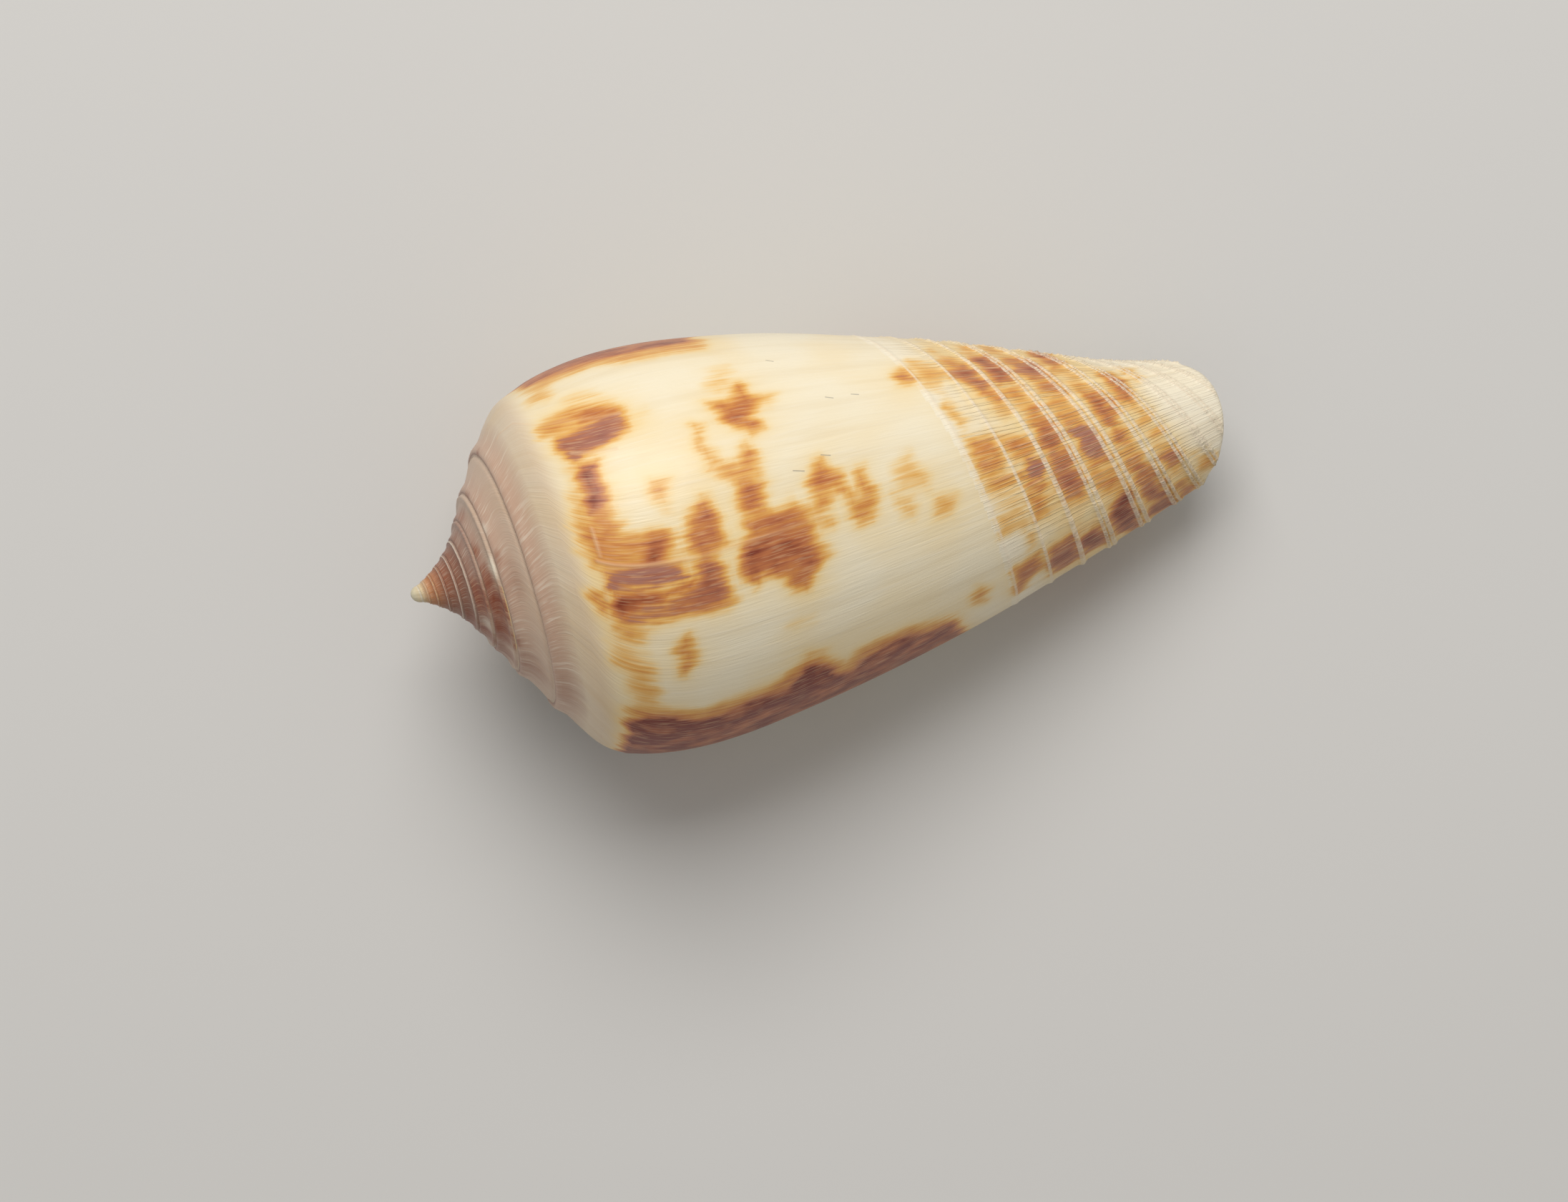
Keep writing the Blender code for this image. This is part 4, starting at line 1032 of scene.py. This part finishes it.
def shell_finish(colours, form):
    """Cream ground, watercolour marks, pale threads and cords, a mauve spire, and a soft gloss."""
    material = bpy.data.materials.new("shell_glaze")
    material.use_nodes = True
    material.node_tree.nodes.clear()
    wiring = Wiring(material.node_tree)
    math = wiring.math
    times = wiring.times
    plus = wiring.plus
    left = wiring.left
    eased = wiring.eased
    mix = wiring.mix

    def read(name, out="Fac"):
        return wiring.add("ShaderNodeAttribute", attribute_name=name).outputs[out]

    growth = read("growth", "Vector")
    parts = wiring.add("ShaderNodeSeparateXYZ", {"Vector": growth}).outputs
    turn, station, share = parts[0], parts[1], parts[2]
    names = ("threads", "hairs", "bands", "clouds", "arcs", "wrinkles", "patches", "wash")
    noises = {name: wiring.noise(growth, name) for name in names}
    threads = noises["threads"]
    hairs = noises["hairs"]
    bands = noises["bands"]
    pigment = read("pigment")
    front = read("front")
    strength = read("cord_strength")
    cords = wiring.cords(read("cord_place"), strength, form.pair_gap, form.cord_width)
    cord_zone = eased("cord zone", strength)
    tip = times(cord_zone, left(front))
    cord_zone = times(cord_zone, eased("calm tip", front))

    # Ground, warmer round the marks, with faint bands and pale growth threads
    butter = plus(times(read("warm"), WARM_SHARE), eased("clouds", noises["clouds"]))
    butter = plus(butter, times(front, FRONT_WARMTH))
    coloured = mix(butter, colours.cream, colours.butter)
    coloured = mix(times(tip, TIP_SHARE), coloured, colours.enamel)
    coloured = mix(eased("bands", bands), coloured, colours.sand)
    coloured = mix(eased("threads", threads), coloured, colours.enamel)

    # Spire and shoulder
    steps = [(place, paint(*tone)) for place, tone in SPIRE_STEPS]
    spire = colour_steps(wiring, math("DIVIDE", station, SPIRE_STEPS_MM), steps)
    spire = mix(eased("spire hairs", hairs), spire, colours.enamel)
    last = plus(eased("last ramp", share), eased("shoulder", share))
    sockets = {0: eased("older turns", turn), 2: last, 3: eased("older ramp", share)}
    tint = wiring.add("ShaderNodeMix", sockets, data_type="FLOAT").outputs[0]
    coloured = mix(math("MAXIMUM", tint, eased("inner turns", station)), coloured, spire)
    arcs = times(eased("arc start", share), eased("arc end", share), eased("arcs", noises["arcs"]))
    coloured = mix(arcs, coloured, colours.enamel)
    suture = times(eased("suture", share), eased("suture start", station))
    coloured = mix(suture, coloured, colours.suture)
    line = eased("pale line", math("ABSOLUTE", math("SUBTRACT", share, PALE_LINE)))
    line = times(line, eased("early spire", station), PALE_LINE_SHARE)
    coloured = mix(line, coloured, colours.enamel)

    # Marks, with edges drawn out along the growth lines
    rough = times(wiring.swing(threads), THREAD_PULL)
    rough = plus(rough, times(wiring.swing(bands), BAND_PULL))
    patches = times(wiring.swing(noises["patches"]), PATCH_PULL)
    amount = plus(pigment, times(rough, times(pigment, left(pigment), 4.0)), times(patches, pigment))
    amount = plus(amount, times(eased("wash", noises["wash"]), times(front, left(pigment))))
    on_ramp = eased("ramp", share)
    steps = [(place, getattr(colours, name)) for name, place in MARK_STEPS.items()]
    stain = mix(on_ramp, colour_steps(wiring, amount, steps), colours.liver)
    cover = plus(times(eased("mark edge", amount), left(on_ramp)), times(amount, on_ramp))
    coloured = mix(cover, coloured, stain)
    dusk = times(read("dusk"), eased("dusk", amount), eased("dusk threads", threads))
    coloured = mix(dusk, coloured, colours.dusk)
    pale = times(eased("pale hairs", hairs), eased("hairs on marks", amount))
    coloured = mix(pale, coloured, colours.thread)

    # Between the cords the growth lines are raised threads
    ribs = math("SINE", plus(times(turn, RIBS), times(bands, RIB_WARP)))
    ribs = times(eased("ribs", ribs), cord_zone, eased("rib hairs", hairs))
    coloured = mix(times(ribs, eased("ribs on marks", amount)), coloured, colours.thread)
    worn = times(eased("worn cords", noises["wrinkles"]), eased("worn bands", bands))
    on_cords = times(eased("cord edge", cords), worn)
    coloured = mix(times(on_cords, CORD_SHARE), coloured, colours.cord)

    # Old rest lines, hairline scratches, white spots, and the pale inside
    flat_place = wiring.vector("MULTIPLY", {0: growth, 1: (RADIAN_MM, 1.0, 0.0)})
    rests = line_mask(wiring, flat_place, REST_LINES, REST_WIDTH)
    rests = times(rests, eased("rest bands", bands))
    coloured = mix(times(rests, REST_SHARE), coloured, colours.thread)
    scratches = line_mask(wiring, flat_place, SCRATCHES, SCRATCH_WIDTH)
    coloured = mix(times(scratches, SCRATCH_SHARE), coloured, colours.scratch)
    coloured = mix(read("blanch"), coloured, colours.enamel)
    inside = read("inside")
    coloured = mix(times(inside, INSIDE_SHARE), coloured, colours.enamel)

    # Fine relief: threads, ribs between the cords, wrinkles across the cords, scars
    wrinkles = times(noises["wrinkles"], cords, cord_zone)
    reliefs = (threads, hairs, ribs, wrinkles, rests, scratches)
    height = plus(*(times(relief, weight) for relief, weight in zip(reliefs, BUMPS.values())))
    height = times(height, left(times(inside, INSIDE_CALM)))
    bumps = wiring.add("ShaderNodeBump", {"Height": height, "Distance": BUMP_MM * MM, "Strength": 1.0})

    roughness = plus(ROUGHNESS, times(cord_zone, FRONT_ROUGHNESS), times(threads, THREAD_ROUGHNESS))
    values = {"Base Color": coloured, "Roughness": roughness, "Normal": bumps.outputs[0]}
    values.update({"Coat Weight": colours.coat, "Coat Roughness": COAT_ROUGHNESS, "IOR": SHELL_IOR})
    shader = wiring.add("ShaderNodeBsdfPrincipled", values)
    wiring.add("ShaderNodeOutputMaterial", {"Surface": shader.outputs[0]})
    return material


def plain_finish(name, colour, roughness):
    """A material of one colour."""
    material = bpy.data.materials.new(name)
    material.use_nodes = True
    shader = material.node_tree.nodes["Principled BSDF"]
    shader.inputs["Base Color"].default_value = (*colour, 1.0)
    shader.inputs["Roughness"].default_value = roughness
    return material


def number(name, description, default, low=0.0, **settings):
    """A property for a number that isn't below the low one."""
    return FloatProperty(name=name, description=description, default=default, min=low, **settings)


def size(name, description, default):
    """A length property in metres, given its default in millimetres."""
    return number(name, description, default * MM, unit="LENGTH")


def colour(name, description, default):
    """A colour property, given its default as read off a screen."""
    settings = {"name": name, "description": description, "default": paint(*default)}
    return FloatVectorProperty(subtype="COLOR", size=3, min=0.0, max=1.0, **settings)


class ConeShellForm(bpy.types.PropertyGroup):
    """Heights and widths of the shell's relief."""

    cord_height: size("Cord height", "How far a full cord stands out", 0.13)
    cord_width: number("Cord width", "Half a line's width, as a share of the spacing", 0.06, 0.02, max=0.3)
    pair_gap: number("Pair gap", "Half the gap in a pair, as a share of the spacing", 0.1, max=0.3)
    wave_height: size("Wave height", "How far the outside waves as it grew", 0.05)
    apex: FloatVectorProperty(
        name="Apex",
        description="Where the apex lies, which the camera is aimed by",
        size=3,
        unit="LENGTH",
        precision=5,
    )


class ConeShellColours(bpy.types.PropertyGroup):
    """Colours of the shell, and the weight of its gloss."""

    cream: colour("Cream", "The ground away from the marks", (238, 226, 198))
    butter: colour("Butter", "The ground near the marks", (237, 205, 138))
    sand: colour("Sand", "Faint bands in the ground", (214, 190, 146))
    straw: colour("Straw", "The faintest marks", (236, 202, 142))
    ochre: colour("Ochre", "Weak marks and the rims of strong ones", (226, 172, 92))
    amber: colour("Amber", "Marks of middling strength", (208, 138, 68))
    brown: colour("Brown", "Strong marks", (182, 106, 62))
    umber: colour("Umber", "The darkest marks", (120, 38, 16))
    dusk: colour("Dusk", "The purple cast over some marks", (166, 114, 98))
    liver: colour("Liver", "Blotches on the spire", (132, 58, 26))
    thread: colour("Thread", "Pale threads that cross the marks", (226, 184, 140))
    cord: colour("Cord", "The cords round the front", (238, 220, 192))
    enamel: colour("Enamel", "The inside, and the palest threads", (240, 230, 208))
    suture: colour("Suture", "The line between two turns of the spire", (132, 78, 56))
    scratch: colour("Scratch", "Hairline scratches", (158, 152, 138))
    coat: number("Gloss", "Weight of the clear gloss", 0.1, max=1.0)


class ConeShellStage(bpy.types.PropertyGroup):
    """The floor and the lights."""

    floor_colour: colour("Floor", "Colour of the plain floor", (206, 203, 198))
    key_power: number("Key light", "Power of the large light", 1.2, unit="POWER")
    side_power: number("Side light", "Power of the weak light", 0.03, unit="POWER")
    daylight: number("Daylight", "Strength of the light from all round", 0.37)


class ConeShellSettings(bpy.types.PropertyGroup):
    """Everything that can be set for the shell and its stage."""

    form: PointerProperty(type=ConeShellForm)
    colours: PointerProperty(type=ConeShellColours)
    stage: PointerProperty(type=ConeShellStage)


class CONESHELL_OT_build(bpy.types.Operator):
    """Builds the shell, with its relief and finish, in place of the plain solid"""

    bl_idname = "coneshell.build"
    bl_label = "Build shell"

    def execute(self, context):
        settings = context.scene.cone_shell
        finish = shell_finish(settings.colours, settings.form)
        mesh = apply_relief(build_mesh(), settings.form, finish)
        if not mesh.polygons:
            raise RuntimeError("the shell has no faces")
        settings.form.apex = lay_down(mesh)
        piece = bpy.data.objects.new("cone_shell", mesh)
        context.scene.collection.objects.link(piece)
        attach(piece, "root")
        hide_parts("shell")
        return {"FINISHED"}


class CONESHELL_OT_stage(bpy.types.Operator):
    """Sets the floor, the lights and the camera round the shell"""

    bl_idname = "coneshell.stage"
    bl_label = "Set stage"

    def execute(self, context):
        scene = context.scene
        settings = scene.cone_shell
        mesh = bpy.data.meshes.new("floor")
        corners = [(-FLOOR_HALF, -FLOOR_HALF, 0), (FLOOR_HALF, -FLOOR_HALF, 0)]
        corners += [(FLOOR_HALF, FLOOR_HALF, 0), (-FLOOR_HALF, FLOOR_HALF, 0)]
        mesh.from_pydata(corners, [], [(0, 1, 2, 3)])
        mesh.materials.append(plain_finish("floor_paper", settings.stage.floor_colour, FLOOR_ROUGHNESS))
        floor = bpy.data.objects.new("floor", mesh)
        scene.collection.objects.link(floor)
        floor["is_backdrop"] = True
        for name, power, width, place in (
            ("key_light", settings.stage.key_power, KEY_SIZE, KEY_PLACE),
            ("side_light", settings.stage.side_power, SIDE_SIZE, SIDE_PLACE),
        ):
            light = bpy.data.lights.new(name, "AREA")
            light.energy = power
            light.size = width
            lamp = bpy.data.objects.new(name, light)
            lamp.location = place
            lamp.rotation_euler = Vector(place).to_track_quat("Z", "Y").to_euler()
            scene.collection.objects.link(lamp)
        world = bpy.data.worlds.new("studio")
        world.use_nodes = True
        sky = world.node_tree.nodes["Background"]
        sky.inputs["Color"].default_value = (1, 1, 1, 1)
        sky.inputs["Strength"].default_value = settings.stage.daylight
        scene.world = world
        scene.view_settings.view_transform = "Standard"
        camera = bpy.data.cameras.new("camera")
        camera.lens = CAMERA_LENS
        camera.sensor_width = CAMERA_SENSOR
        camera.clip_start = CAMERA_NEAR
        eye = bpy.data.objects.new("camera", camera)
        eye.location = Vector(settings.form.apex) * Vector((1, 1, 0)) + Vector(CAMERA_FROM_APEX)
        eye.rotation_euler = (0, 0, CAMERA_TURN)
        scene.collection.objects.link(eye)
        scene.camera = eye
        return {"FINISHED"}


class CONESHELL_PT_panel(bpy.types.Panel):
    """Lists the shell's settings and the steps that build it"""

    bl_idname = "CONESHELL_PT_panel"
    bl_label = "Cone shell"
    bl_space_type = "VIEW_3D"
    bl_region_type = "UI"
    bl_category = "Cone shell"

    def draw(self, context):
        settings = context.scene.cone_shell
        for title in ("Form", "Colours", "Stage"):
            group = getattr(settings, title.lower())
            box = self.layout.box()
            box.label(text=title)
            for name in group.__annotations__:
                box.prop(group, name)
        self.layout.operator(CONESHELL_OT_build.bl_idname)
        self.layout.operator(CONESHELL_OT_stage.bl_idname)


CLASSES = (
    ConeShellForm,
    ConeShellColours,
    ConeShellStage,
    ConeShellSettings,
    CONESHELL_OT_build,
    CONESHELL_OT_stage,
    CONESHELL_PT_panel,
)


def register():
    for cls in CLASSES:
        bpy.utils.register_class(cls)
    bpy.types.Scene.cone_shell = PointerProperty(type=ConeShellSettings)


def unregister():
    del bpy.types.Scene.cone_shell
    for cls in reversed(CLASSES):
        bpy.utils.unregister_class(cls)


def main():
    """Builds the shell and its stage."""
    register()
    bpy.ops.coneshell.build()
    bpy.ops.coneshell.stage()
    boxes = {"cad": CAD_BOX, "visual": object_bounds()}
    boxes = {name: [list(corner) for corner in box] for name, box in boxes.items()}


if __name__ == "__main__":
    main()
